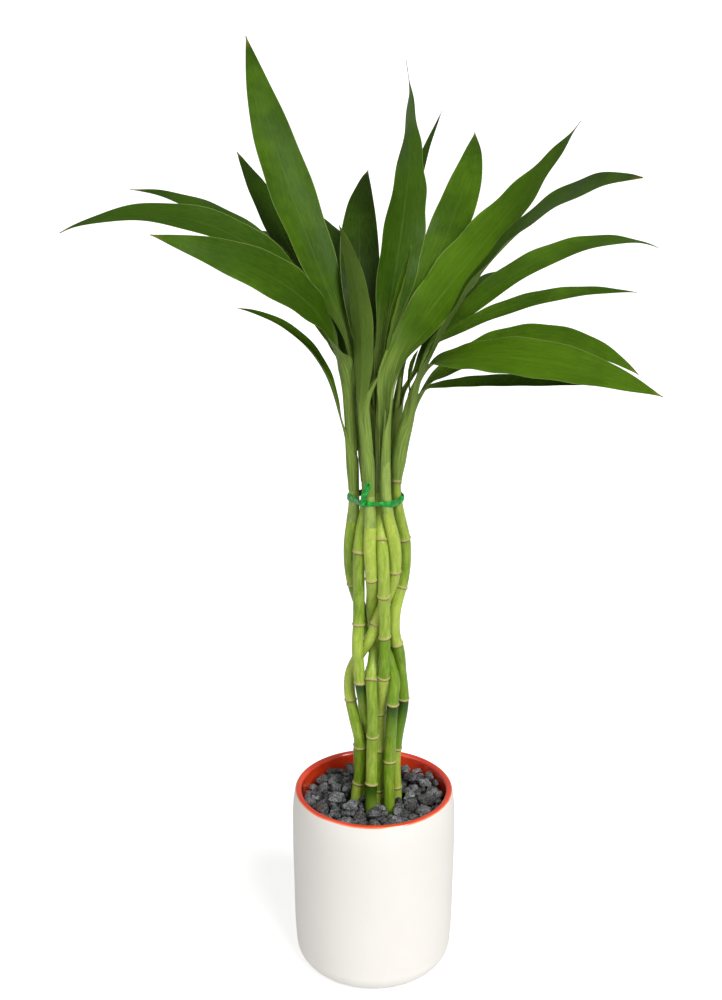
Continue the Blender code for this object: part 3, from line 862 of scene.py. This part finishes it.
@dataclass
class Gravel:
    """Broken stones dropped one by one into the pot, each coming to rest on what is under it."""

    wall_radius: float = 0.0477
    cane_clear: float = 0.0041
    top_limit: float = 0.1296
    under_limit: float = 0.1246
    over_limits: tuple[float, ...] = (0.1296, 0.1290, 0.1280)
    cell: float = 0.0006
    grid_half: float = 0.0495
    bed_drop: float = 0.0026  # how much lower the bed is at the wall than in its middle
    bed_top: tuple[float, float] = (0.112, 0.131)  # the heights between which canes can meet stones
    tries: int = 26  # how many places each small stone tries
    spread: float = 0.0465
    chip_detail: tuple[int, int, int] = (9, 12, 3)  # rows, columns and pits
    big_detail: tuple[int, int, int] = (30, 44, 16)
    seed: int = 21
    big: Array = field(default_factory=lambda: np.array([0.0084, 0.0066, 0.0054]))
    under: Sort = (190, 2.0, 3.2, 9)
    over: tuple[Sort, ...] = ((90, 4.6, 6.4, 12), (110, 3.2, 4.6, 11), (90, 2.0, 2.8, 9))

    def ground(self, canes: list[Array]) -> tuple[Array, Array]:
        """The height of the bed at each cell, and its grid of X or Y values.

        The wall and the canes are as high as 1 m, so that no stone comes to rest over them.
        """
        axis = np.arange(-self.grid_half, self.grid_half, self.cell)
        x, y = np.meshgrid(axis, axis, indexing="ij")
        radius = np.hypot(x, y)
        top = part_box("gravel_bed")[1][2]
        height = top + 0.0003 - self.bed_drop * (radius / self.wall_radius) ** 2
        taken = radius > self.wall_radius
        for line in canes:
            low = line[(line[:, 2] > self.bed_top[0]) & (line[:, 2] < self.bed_top[1])]
            gap = np.hypot(x[..., None] - low[:, 0], y[..., None] - low[:, 1])
            taken |= (gap < self.cane_clear).any(axis=-1)
        return np.where(taken, 1.0, height), axis

    def drop(self, stone: Stone, places: Array, height: Array, axis: Array, limit: float) -> Array | None:
        """Drops a stone at each place in turn and keeps it where it comes lowest.

        Args:
            stone: The stone.
            places: X and Y to try, one row each.
            height: The ground's height, which rises where the stone comes to rest.
            axis: The X and Y values of the ground's cells.
            limit: How high its top may stand.

        Returns:
            The stone's middle, or None where it would stand too high at every place.
        """
        half = int(np.ceil(stone.reach.max() * 1.7 / self.cell))
        beside = np.arange(-half, half + 1) * self.cell
        low, high = stone.heights(*np.meshgrid(beside, beside, indexing="ij"))
        solid = high > low
        best = None
        for spot in np.round((places - axis[0]) / self.cell).astype(int):
            if (spot < half).any() or (spot >= len(axis) - half).any():
                continue
            window = height[spot[0] - half:spot[0] + half + 1, spot[1] - half:spot[1] + half + 1]
            rest = float((window - low)[solid].max())
            if best is None or rest < best[0]:
                best = (rest, spot, window)
        if best is None or best[0] + float(high[solid].max()) > limit:
            return None
        rest, spot, window = best
        window[solid] = np.maximum(window[solid], rest + high[solid])
        return np.array([axis[spot[0]], axis[spot[1]], rest + 0.00005])

    def chips(
        self, sort: Sort, limit: float, ground: tuple[Array, Array], rng: np.random.Generator
    ) -> list[Skin]:
        """Drops small stones of one sort, each where it comes lowest of some seeded places.

        Args:
            sort: What they are.
            limit: No stone comes higher than this.
            ground: The ground's height, which rises as they land, and its X and Y values.
            rng: Draws sizes and places.

        Returns:
            The surfaces of those that found room.
        """
        count, small, large, faces = sort
        made = []
        for number in range(count):
            size = rng.uniform(small, large) * MM * np.array([1.2, 0.95, 0.75])
            stone = Stone.broken(rng, tuple(size), faces)
            turn = rng.uniform(0, TURN, self.tries)
            radius = self.spread * np.sqrt(rng.uniform(0, 1, self.tries))
            places = radius[:, None] * pointing(turn)
            middle = self.drop(stone, places, *ground, limit)
            if middle is not None:
                made.append(stone.skin(middle, *self.chip_detail, 1000 * faces + number))
        return made

    def build(self, canes: list[Array]) -> list[bpy.types.Object]:
        """Covers the bed with small stones, sets the big ones where the part has them and fills in."""
        rng = np.random.default_rng(self.seed)
        finish = StoneFinish().material()
        ground = self.ground(canes)
        small = self.chips(self.under, self.under_limit, ground, rng)
        pieces = []
        names = sorted(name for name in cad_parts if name.startswith("stone_"))
        for number, name in enumerate(names):
            low, high = (np.array(corner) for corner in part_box(name))
            stone = Stone.broken(rng, tuple(self.big * rng.uniform(0.8, 1.12, 3)), 13)
            near = ((low + high) / 2)[:2] + rng.uniform(-0.003, 0.003, (24, 2))
            middle = self.drop(stone, near, *ground, self.top_limit)
            if middle is None:
                LOG.warning("%s has no room, so it is smaller", name)
                middle = (low + high) / 2
                stone.reach = stone.reach * 0.7
            skin = stone.skin(middle, *self.big_detail, 100 + number)
            piece = make_piece(f"big_{name}", skin, finish, sharp=28.0)
            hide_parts(name)
            pieces.append(piece)
        for sort, limit in zip(self.over, self.over_limits):
            small += self.chips(sort, limit, ground, rng)
        LOG.info("%d small stones", len(small))
        pieces.append(make_piece("small_stones", joined(small), finish, sharp=24.0))
        # Painted shade: the bed, seen only in the gaps between stones, gets a darker stone colour that stands
        # in for the shade there.
        darkening_and_painted_shade = StoneFinish(name="gravel_gap_shade", middle=(58, 55, 52), light=(76, 72, 68)).material()
        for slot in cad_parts["gravel_bed"].material_slots:
            slot.material = darkening_and_painted_shade
        return pieces


# ---------------------------------------------------------------- canes


@dataclass(frozen=True)
class CanePlan:
    """One cane, its heights in millimetres: its CAD node, its rings and where its sheathed shoot starts.

    Dark below names rings with a painted shadow under them: a dark length. Slim is the share that its shoot's
    radius loses.
    """

    node: str
    rings: tuple[float, ...]
    sheath_from: float
    painted_shadow_below: tuple[float, ...] = ()
    slim: float = 0.14


CROSSING = "stalk_crossing"
FAR_RIGHT = "stalk_far_right"
CANES = (
    CanePlan("stalk_far_left", (280, 240, 200, 165, 135), 323),
    CanePlan("stalk_front_left", (307, 254, 215, 176, 145), 346, (215,)),
    CanePlan("stalk_centre_left", (289.5, 250, 218, 177, 140), 323.5, (140,)),
    CanePlan("stalk_middle", (315, 278, 248, 220, 190, 160, 130), 344),
    CanePlan(CROSSING, (294, 255, 198, 165, 135), 333),
    CanePlan(FAR_RIGHT, (352, 312, 279, 240, 198, 160, 130), 353, (198,), 0.3),
    CanePlan("stalk_front_right", (315, 275, 238, 200, 155), 345, (200,)),
    CanePlan("stalk_back", (310, 270, 232, 195, 158, 130), 344),
)


CANE_RADIUS = 0.0037
CANE_SWELL = 0.00035
CANE_FULLEST = 0.312
# Millimetres from a ring's middle at which a cane has a section, so that the ring's shape shows
BESIDE_RING = np.array([-4.5, -3.4, -2.6, -2.0, -1.6, -1.25, -0.95, -0.7, -0.45, -0.2, 0.0])


def shoot_radius(height: Array, slim: float) -> Array:
    """A stalk's radius at a height: fullest below the tie, and less by the share slim in its shoot."""
    full = CANE_RADIUS + CANE_SWELL * bell(height - CANE_FULLEST, 0.014)
    return full * (1 - slim * smoothstep(height, 0.322, 0.350))


@dataclass
class Cane:
    """One cane, from its buried end to the tip of its shoot."""

    plan: CanePlan
    seed: int
    sheath_extra: float = 0.00012
    ring_rise: float = 0.00046
    step: float = 0.0026
    around: int = 28

    def line(self) -> Array:
        """The middle line of the CAD stalk, smoothed."""
        low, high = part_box(self.plan.node)
        heights = np.linspace(low[2] + 0.0005, high[2] - 0.0015, 64)
        return smooth_line(level_middles(self.plan.node, heights), 1200)

    def build(self, finish: bpy.types.Material) -> bpy.types.Object:
        """Carries a circle along the line; its radius swells at each ring and dips just below it."""
        rng = np.random.default_rng(self.seed)
        line = self.line()
        along = run_length(line)
        rings = np.interp(np.array(self.plan.rings) * MM, line[:, 2], along)
        near = np.concatenate([BESIDE_RING, -BESIDE_RING[:-1][::-1]]) * MM
        start = float(np.interp(self.plan.sheath_from * MM, line[:, 2], along))
        sheath_edge = start + np.linspace(-0.0012, 0.0012, 7)
        spots = [np.arange(0.0, along[-1], self.step), along[-1:], sheath_edge]
        at = np.unique(np.round(np.concatenate([*spots, *(ring + near for ring in rings)]), 6))
        at = at[(at >= 0) & (at <= along[-1])]
        middle = read_line(line, at)
        ahead = unit(np.gradient(middle, at, axis=0))
        side = unit(np.cross(ahead, np.array([0.0, 1.0, 0.0])))
        out = np.cross(ahead, side)
        turn = circle(self.around)
        tilt = rng.uniform(0.1, 0.6, len(rings)) * MM
        lean = rng.uniform(0, TURN, len(rings))
        gaps = at[:, None, None] - rings - tilt * np.cos(turn[None, :, None] - lean)
        nearest = np.abs(gaps).argmin(axis=-1)
        gap = np.take_along_axis(gaps, nearest[..., None], axis=-1)[..., 0] / MM
        sheath = smoothstep(at[:, None] + 0.0006 * np.sin(turn + lean[0]), start, start + 0.0006)
        swell = self.ring_rise * bell(gap, 0.8) - 0.00014 * bell(gap + 1.7, 0.7)
        swell = swell + 0.00016 * np.exp(-np.abs(gap) / 5)
        oval = 0.00008 * np.cos(2 * turn + 3.0 * np.sin(at[:, None] / 0.04))
        tip = 1 - 0.8 * smoothstep(at, along[-1] - 0.045, along[-1])[:, None]
        plain = shoot_radius(middle[:, 2:], self.plan.slim)
        radius = (plain + swell + oval + sheath * self.sheath_extra) * tip
        ways = np.cos(turn)[:, None] * side[:, None] + np.sin(turn)[:, None] * out[:, None]
        points = middle[:, None] + radius[..., None] * ways
        tones = rng.uniform(0.0, 0.9, len(rings) + 1)
        piece_of = (at[:, None, None] > np.sort(rings)).sum(axis=-1)
        # Painted shadow: a dark length under each listed ring. Every ring also gets a little darkening for a
        # few millimetres under it.
        darkening_and_painted_shade = np.zeros_like(gap)
        for height in self.plan.painted_shadow_below:
            under = (float(np.interp(height * MM, line[:, 2], along)) - at[:, None]) / MM
            darkening_and_painted_shade = np.maximum(darkening_and_painted_shade, np.where(under > 0, np.exp(-under / 16), 0.0))
        darkening_and_painted_shade = np.maximum(darkening_and_painted_shade, 0.35 * np.where(gap < 0, np.exp(gap / 5), 0.0))
        upwards = at[:, None] / 0.02 + self.seed * 7.3
        grain = np.stack(np.broadcast_arrays(np.cos(turn), np.sin(turn), upwards), axis=-1)
        values = {
            "ring": gap, "tone": tones[piece_of], "darkening_and_painted_shade": darkening_and_painted_shade, "sheath": sheath, "grain": grain
        }
        skin = closed_tube(points, values)
        piece = make_piece(self.plan.node.replace("stalk", "cane"), skin, finish, sharp=50.0)
        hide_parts(self.plan.node)
        return piece


# ---------------------------------------------------------------- leaves


@dataclass(frozen=True)
class LeafPlan:
    """A leaf in millimetres and degrees: where its blade starts and heads, and how it bends and turns.

    It rises, and droops and swings by so many degrees over its length. Roll turns its face about its own
    middle line, and twist adds to that over its length. Tint goes from 0 for a dark leaf to 1 for a light
    one: partly the leaf's age, partly painted light and shade, low where a leaf lies in the crown's shade and
    high where it faces the light.
    Base is the share of its width that it keeps where the blade starts. Taper is the length over which it
    closes into its sheath. Shoot names the stalk that it grows from; without one it is the nearest.
    """

    root: tuple[float, float, float]
    heading: float
    rise: float
    droop: float
    swing: float
    length: float
    width: float
    roll: float
    twist: float
    age_and_painted_light: float = 0.5
    habit: Habit = Habit.OPEN
    base: float = 0.26
    taper: float = 26.0
    shoot: str = ""


LEAVES = (
    LeafPlan((-13, 3, 432), 143, 60, 6, -32, 214, 31, 0, 20, 0.62, base=0.42, taper=38),
    LeafPlan((-11, 13, 404), 142, 60, 38, -30, 195, 22, 5, 5, 0.3),
    LeafPlan((-23, 0, 430), 212, 68, 96, -38, 210, 27, 45, -28, 0.45, base=0.36),
    LeafPlan((-22, 11, 424), 156, 65, 59, 34, 174, 20, 30, -5, 0.35),
    LeafPlan((-22, -8, 430), 264, 50, 38, -85, 173, 28, 66, 0, 0.6, base=0.5, taper=38),
    LeafPlan((-21, -4, 389), 208, 80, 69, -15, 109, 9, 40, 0, 0.7, Habit.FOLDED),
    LeafPlan((-5, 26, 411), 129, 54, 64, -10, 164, 16, 10, 0, 0.2),
    LeafPlan((-6, 2, 422), 105, 76, 54, -27, 142, 25, 0, 0, 0.15),
    LeafPlan((-11, -18, 392), -127, 103, 57, 16, 137, 15, 0, 0, 0.6),
    LeafPlan((4, 2, 434), 50, 74, 28, 51, 189, 33, -42, -36, 0.45, base=0.34),
    LeafPlan((7, 21, 416), 65, 80, 35, -8, 171, 13, 14, 6, 0.2),
    LeafPlan((14, 2, 433), 37, 61, 43, 51, 178, 25, -10, -5, 0.7),
    LeafPlan((18, 14, 418), 94, 34, 36, -27, 126, 16, 0, 0, 0.25),
    LeafPlan((9, -15, 426), 46, 46, -10, -75, 190, 36, -24, -8, 0.9, base=0.56, taper=42, shoot=CROSSING),
    LeafPlan((21, -15, 404), -34, 68, 62, -34, 262, 29, -26, -18, 0.6, shoot=FAR_RIGHT),
    LeafPlan((25, 1, 425), 14, 49, 72, 22, 199, 18, -26, 6, 0.75, shoot=FAR_RIGHT),
    LeafPlan((27, -5, 435), 1, 33, 42, 5, 140, 12, -32, 0, 0.7, shoot=FAR_RIGHT),
    LeafPlan((28, -1, 410), -12, 43, 77, -16, 148, 22, -40, 0, 0.85, shoot=FAR_RIGHT),
    LeafPlan((29, -7, 428), -54, 20, 36, 25, 174, 27, -32, -20, 0.95, base=0.22, shoot=FAR_RIGHT),
    LeafPlan((27, -12, 414), -55, 18, 16, 36, 133, 10, -45, 0, 0.5, Habit.FOLDED, shoot=FAR_RIGHT),
    LeafPlan((5, -7, 424), 20, 76, 0, 15, 78, 9, 0, 0, 0.8, Habit.SPEAR),
    LeafPlan((21, -2, 412), 44, 84, 30, 0, 24, 5, 0, 0, 0.9, Habit.SPEAR),
    LeafPlan((-2, 20, 414), 105, 58, 70, 20, 180, 24, 0, 0, 0.35),
    LeafPlan((4, 20, 400), 92, 40, 50, 5, 160, 20, 0, 0, 0.3),
    LeafPlan((24, 13, 412), 38, 60, 60, 15, 105, 16, 0, 0, 0.45),
)


LEAF_WIDEST = 0.9 / (0.9 + 1.05)  # the share of a blade's length at which it is widest


@dataclass
class Leaf:
    """One leaf: a sheath round its shoot, a channelled stalk and a long blade, as one closed sheet."""

    number: int
    plan: LeafPlan
    shoot: Array
    layer: int
    slim: float
    stations: int = 118
    half_columns: int = 9
    blade_steps: int = 200
    bend_steps: int = 20
    sheath_length: float = 0.040
    sheath_gap: float = 0.00016
    lowest_sheath: float = 0.3445  # just over the tie
    leave_below: float = 0.014  # how far under the blade's root the sheath leaves the shoot
    tip_clear: float = 0.008
    sheath_angle: float = 2.45
    channel_angle: float = 1.35
    layer_step: float = 0.00028
    edge_thickness: float = 0.00026
    wave_share: float = 0.85 / 26  # how far the edges wave up and down, as a share of the leaf's width

    def blade_line(self) -> tuple[Array, Array]:
        """The blade's middle line and headings.

        Its rise falls by the droop times the share of its length to the power 1.3. It turns evenly.
        """
        share = (np.arange(self.blade_steps) + 0.5) / self.blade_steps
        rise = np.radians(self.plan.rise - self.plan.droop * share**1.3)
        heading = np.radians(self.plan.heading + self.plan.swing * share)
        steps = np.column_stack([np.cos(rise)[:, None] * pointing(heading), np.sin(rise)])
        line = np.vstack([np.zeros(3), np.cumsum(steps, axis=0)]) * self.plan.length / self.blade_steps
        return (line + np.array(self.plan.root)) * MM, np.append(heading, heading[-1])

    def whole_line(self) -> tuple[Array, Array, Array, float]:
        """The sheath's line up the shoot, a bend out from it, and the blade's line, as one.

        The sheath runs beside the shoot on the side that the leaf heads for. The bend is a cubic whose ends
        follow the shoot and the blade, which it meets some steps past its root.

        Returns:
            Points, headings, the sheath's radius at each, and how far along it the blade starts.
        """
        blade, heading = self.blade_line()
        out = np.append(pointing(heading[0]), 0.0)
        root_height, tip_height = blade[0, 2], self.shoot[-1, 2]
        cut = self.bend_steps * self.plan.length / self.blade_steps * MM
        blade, heading = blade[self.bend_steps:], heading[self.bend_steps:]
        leave = min(root_height - self.leave_below, tip_height - self.tip_clear)
        start = max(leave - self.sheath_length, self.lowest_sheath)
        heights = np.linspace(start, max(leave, start + 0.010), 30)
        shoot = between(heights, self.shoot[:, 2], self.shoot)
        sheath = shoot + out * self.ring_radius(heights, start)[:, None]
        rise, depart = unit(sheath[-1] - sheath[-3]), unit(blade[2] - blade[0])
        t = np.linspace(0, 1, 26)[1:-1, None]
        reach = np.linalg.norm(blade[0] - sheath[-1])
        bend = ((2 * t**3 - 3 * t**2 + 1) * sheath[-1] + (t**3 - 2 * t**2 + t) * reach * rise
                + (3 * t**2 - 2 * t**3) * blade[0] + (t**3 - t**2) * reach * depart)
        points = np.vstack([sheath, bend, blade])
        headings = np.concatenate([np.full(len(sheath) + len(bend), heading[0]), heading])
        along = run_length(points)
        rings = self.ring_radius(points[:, 2], start)
        return points, headings, rings, float(along[len(sheath) + len(bend)]) - cut

    def ring_radius(self, heights: Array, start: float) -> Array:
        """How far the sheath stands from the shoot's middle: flush where it starts, then over its mates."""
        over_mates = self.layer_step * self.layer * smoothstep(heights, start, start + 0.016)
        return shoot_radius(heights, self.slim) + self.sheath_gap + over_mates

    def build(self, finish: bpy.types.Material) -> bpy.types.Object:
        """Carries a curved section along the line.

        The section is an arc that turns towards the leaf's upper side: a point at share v of the way from
        the midrib to the edge stands at angle v times the half angle. The half angle falls from a nearly
        closed ring on the sheath through a channel on the stalk to an open blade. The chord across the
        section goes from the ring's to the blade's, whose outline is t^0.9 (1 - t)^1.05 with its greatest
        value made 1. The edges wave a little, and the thickness falls from the midrib to the edges.
        """
        plan = self.plan
        rng = np.random.default_rng(300 + self.number)
        points, headings, radii, root_at = self.whole_line()
        along = run_length(points)
        at = along[-1] * np.linspace(0, 1, self.stations) ** 1.06
        middle = read_line(points, at)
        ease(middle)
        heading = np.interp(at, along, headings)
        share = (at - root_at) / (along[-1] - root_at)
        t = np.clip(share, 0.0, 1.0)
        ahead = unit(np.gradient(middle, axis=0))
        level = np.stack([np.sin(heading), -np.cos(heading), np.zeros_like(heading)], axis=1)
        level = unit(level - dot(level, ahead) * ahead)
        face = np.cross(level, ahead)
        roll = (np.radians(plan.roll + plan.twist * t) * smoothstep(share, -0.06, 0.12))[:, None]
        across = np.cos(roll) * level + np.sin(roll) * face
        upper = np.cross(across, ahead)

        widest = LEAF_WIDEST**0.9 * (1 - LEAF_WIDEST) ** 1.05
        outline = t**0.9 * (1 - t) ** 1.05 / widest
        blade_half = plan.width * MM / 2 * (outline**3 + (plan.base * (1 - t) ** 2 + 0.02) ** 3) ** (1 / 3)
        opened = plan.habit.value
        channel = max(opened, self.channel_angle)
        blade_angle = opened + (channel - opened) * (1 - smoothstep(t, 0.0, 0.17))
        blade_angle = blade_angle - 0.6 * opened * smoothstep(t, 0.3, 1.0)
        past = smoothstep(at, root_at - plan.taper * MM, root_at)
        ring = np.interp(at, along, radii)
        opening = smoothstep(at, root_at - plan.taper * MM, root_at - 0.45 * plan.taper * MM)
        angle = self.sheath_angle * (1 - opening) + blade_angle * opening
        half_turn = np.pi / 2
        blade_chord = blade_half / blade_angle * np.sin(np.minimum(blade_angle, half_turn))
        chord = ring * (1 - past) + blade_chord * past
        bend_radius = (chord / np.sin(np.minimum(angle, half_turn)))[:, None]

        v = np.linspace(-1, 1, 2 * self.half_columns + 1)
        v = np.sign(v) * np.abs(v) ** 0.85
        theta = angle[:, None] * v
        waves = rng.uniform(4.0, 6.5, 2)
        phases = rng.uniform(0, TURN, 2)
        side = (v > 0).astype(int)
        wave = np.sin(TURN * waves[side] * t[:, None] + phases[side]) * np.abs(v) ** 2.5
        strength = self.wave_share * plan.width * MM * smoothstep(t, 0.05, 0.3) * (1 - 0.6 * t)
        wave = wave * strength[:, None]
        rib = 0.00035 * smoothstep(share, 0.02, 0.2) * (1 - t)
        sink = -rib[:, None] * bell(v, 0.12)
        lift = bend_radius * (1 - np.cos(theta)) + wave + sink
        spread = bend_radius * np.sin(theta)
        sheet = middle[:, None] + spread[..., None] * across[:, None] + lift[..., None] * upper[:, None]
        normal = -np.sin(theta)[..., None] * across[:, None] + np.cos(theta)[..., None] * upper[:, None]
        rib_thickness = 0.0004 + 0.0006 * smoothstep(share, -0.12, 0.0) * (1 - t) ** 1.5
        extra = (rib_thickness[:, None] - self.edge_thickness) * bell(v, 0.32)
        thick = self.edge_thickness * (1 - 0.4 * t[:, None]) + extra
        thick = thick * (0.35 + 0.65 * np.minimum(1.0, (1 - np.abs(v)) * 14 + 0.25))
        top, bottom = sheet + normal * thick[..., None] / 2, sheet - normal * thick[..., None] / 2
        rings = np.concatenate([top, bottom[:, ::-1]], axis=1)

        spans = np.concatenate([v, v[::-1]])[None] + 0 * at[:, None]
        outwards = at[:, None] / 0.075 + self.number * 5.7 + 0 * spans
        values = {
            "span": spans,
            "run": share[:, None] + 0 * spans,
            "under": np.concatenate([np.zeros_like(v), np.ones_like(v)])[None] + 0 * spans,
            "age_and_painted_light": np.full_like(spans, plan.age_and_painted_light),
            "grain": np.stack([spans * 3.2, 0 * spans, outwards], axis=-1),
        }
        skin = closed_tube(rings, values)
        piece = make_piece(f"leaf_blade_{self.number:02d}", skin, finish, sharp=80.0)
        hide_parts(f"leaf_{self.number:02d}")
        return piece


@dataclass
class Crown:
    """All the leaves, each given to the shoot that it stands nearest to."""

    canes: list[Array]

    def build(self) -> list[bpy.types.Object]:
        """Builds every leaf; on one shoot, a leaf that starts lower has its sheath further out."""
        finish = LeafFinish().material()
        chosen = []
        for plan in LEAVES:
            root = np.array(plan.root) * MM
            out = pointing(np.radians(plan.heading))
            gaps = []
            for line in self.canes:
                height = min(root[2] - 0.016, line[-1, 2] - Leaf.tip_clear)
                at = between(height, line[:, 2], line[:, :2])
                gaps.append(float(np.linalg.norm(root[:2] - at - out * 0.006)))
            named = [plan.shoot == cane.node for cane in CANES]
            chosen.append(named.index(True) if any(named) else int(np.argmin(gaps)))
        pieces = []
        for number, (plan, shoot) in enumerate(zip(LEAVES, chosen), start=1):
            mates = [other.root[2] for other, owner in zip(LEAVES, chosen) if owner == shoot]
            layer = sorted(mates, reverse=True).index(plan.root[2])
            leaf = Leaf(number, plan, self.canes[shoot], layer, CANES[shoot].slim)
            LOG.info("leaf %d on shoot %d, layer %d", number, shoot, leaf.layer)
            pieces.append(leaf.build(finish))
        return pieces


# ---------------------------------------------------------------- tie


@dataclass
class TwistTie:
    """A foil strip once round the canes, its ends twisted together in front."""

    canes: list[Array]
    clear: float = 0.0038
    strip_width: float = 0.0044
    strip_thickness: float = 0.0014
    knot: tuple[float, float] = (-0.0080, -0.0175)
    tail: float = 0.0145
    turns: float = 2.2
    lean: tuple[float, float, float] = (0.25, -0.18, 0.95)
    apart: float = 0.0009
    loop_points: int = 260

    def line(self) -> tuple[Array, Array]:
        """The strip's middle line and the way its broad side runs.

        Round the canes it is the outline of circles about them: at each angle, the circle that reaches
        furthest that way gives the point. Both tails wind about one short line that leans to the right.

        Returns:
            Points and the direction of the strip's width at each.
        """
        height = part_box("twist_tie")[0][2] + 0.0009
        middles = np.array([between(height, line[:, 2], line[:, :2]) for line in self.canes])
        ways = pointing(circle(360))
        furthest = (ways @ middles.T).argmax(axis=1)
        loop = middles[furthest] + self.clear * ways
        first = int(np.argmin(np.linalg.norm(loop - np.array(self.knot), axis=1)))
        loop = np.roll(loop, -first - 4, axis=0)[:-8]
        loop = read_line(loop, np.linspace(0, run_length(loop)[-1], self.loop_points))
        rise = height + 0.0005 * np.sin(np.linspace(0, TURN * 3, self.loop_points))
        loop = np.column_stack([loop, rise])
        foot = np.array([*self.knot, height + 0.001])
        lean = unit(np.array(self.lean))
        side = unit(np.array([1.0, 0.0, -lean[0] / lean[2]]))
        out = np.cross(lean, side)
        share = np.linspace(0.0, 1.0, 70)[:, None]
        wind = TURN * self.turns * share
        swing = np.cos(wind) * side + np.sin(wind) * out
        axis = foot + lean * self.tail * share
        apart = self.apart * (1 + 0.5 * share)
        points = np.vstack([(axis + swing * apart)[::-1], loop, axis - swing * apart])
        turned = 0.5 * np.cross(lean, swing)
        upright = np.tile([0.0, 0.0, 1.0], (len(loop), 1))
        return points, np.vstack([(lean + turned)[::-1], upright, lean - turned])

    def build(self) -> bpy.types.Object:
        """Carries a flat rounded strip along the line, its edges creased by a ripple."""
        points, broad = self.line()
        along = run_length(points)
        at = np.linspace(0, along[-1], 520)
        middle = read_line(points, at)
        for _ in range(3):
            ease(middle)
        ahead = unit(np.gradient(middle, axis=0))
        wide = between(at, along, broad)
        wide = unit(wide - dot(wide, ahead) * ahead)
        thin = np.cross(ahead, wide)
        turn = circle(20)
        narrow = 1 - 0.42 * bell((middle[:, 0] - 0.001) / 0.006, 1.0) * (middle[:, 1] < 0)
        width = (self.strip_width / 2 * narrow)[:, None] * np.cos(turn)
        strip = np.broadcast_arrays(at[:, None] / 0.0016, np.cos(turn)[None] * 0.8)
        creases = ripple(np.stack(strip, axis=-1), 3.0, 5)
        depth = self.strip_thickness / 2 * np.sin(turn)[None] + 0.00026 * creases * np.abs(np.cos(turn))
        rings = middle[:, None] + width[..., None] * wide[:, None] + depth[..., None] * thin[:, None]
        skin = closed_tube(rings, {})
        piece = make_piece("foil_tie", skin, FoilFinish().material(), sharp=35.0)
        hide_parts("twist_tie")
        return piece


# ---------------------------------------------------------------- studio


@dataclass
class Studio:
    """A white table under soft light from the front and right, and the camera."""

    camera_place: tuple[float, float, float] = (-0.0086, -1.0, 0.709)
    camera_pitch: float = 69.6
    camera_lens: float = 60.85
    floor_size: float = 80.0
    sky: float = 0.27
    sun: float = 2.5
    sun_spread: float = 32.0

    def build(self) -> None:
        """Lays the floor, lights it and sets the camera."""
        scene = bpy.context.scene
        scene.view_settings.view_transform = "Standard"
        self.floor()
        world = bpy.data.worlds.new("studio_sky")
        world.use_nodes = True
        background = world.node_tree.nodes["Background"]
        background.inputs["Color"].default_value = (1.0, 0.99, 0.975, 1.0)
        background.inputs["Strength"].default_value = self.sky
        scene.world = world
        self.lamp("key_light", (48.0, 0.0, 34.0), self.sun, self.sun_spread)
        self.lamp("fill_light", (58.0, 0.0, -48.0), self.sun * 0.22, 60.0)
        view = bpy.data.cameras.new("camera")
        view.lens = self.camera_lens
        view.sensor_width = 36.0
        view.clip_end = 200.0
        camera = bpy.data.objects.new("camera", view)
        camera.location = self.camera_place
        camera.rotation_euler = (np.radians(self.camera_pitch), 0.0, 0.0)
        scene.collection.objects.link(camera)
        scene.camera = camera

    def lamp(self, name: str, angles: tuple[float, float, float], strength: float, spread: float) -> None:
        """Adds a broad distant light, turned by so many degrees about X, Y and Z."""
        light = bpy.data.lights.new(name, "SUN")
        light.energy = strength
        light.angle = np.radians(spread)
        lamp = bpy.data.objects.new(name, light)
        lamp.rotation_euler = tuple(np.radians(angles))
        bpy.context.scene.collection.objects.link(lamp)

    def floor(self) -> None:
        """A flat square just under the pot's foot."""
        half, under = self.floor_size / 2, -0.0001
        corners = [(x * half, y * half, under) for x, y in ((-1, -1), (1, -1), (1, 1), (-1, 1))]
        mesh = bpy.data.meshes.new("table_top")
        mesh.from_pydata(corners, [], [(0, 1, 2, 3)])
        mesh.materials.append(FloorFinish().material())
        table = bpy.data.objects.new("table_top", mesh)
        bpy.context.scene.collection.objects.link(table)


def main() -> None:
    """Builds the pot, the gravel, the canes, the leaves, the tie and the studio, in that order."""
    logging.basicConfig(level=logging.INFO, format="%(name)s: %(message)s")
    canes = [Cane(plan, seed) for seed, plan in enumerate(CANES, start=1)]
    lines = [cane.line() for cane in canes]
    Pot().build()
    Gravel().build(lines)
    skin = CaneFinish().material()
    for cane in canes:
        cane.build(skin)
    Crown(lines).build()
    TwistTie(lines).build()
    Studio().build()


if __name__ == "__main__":
    main()
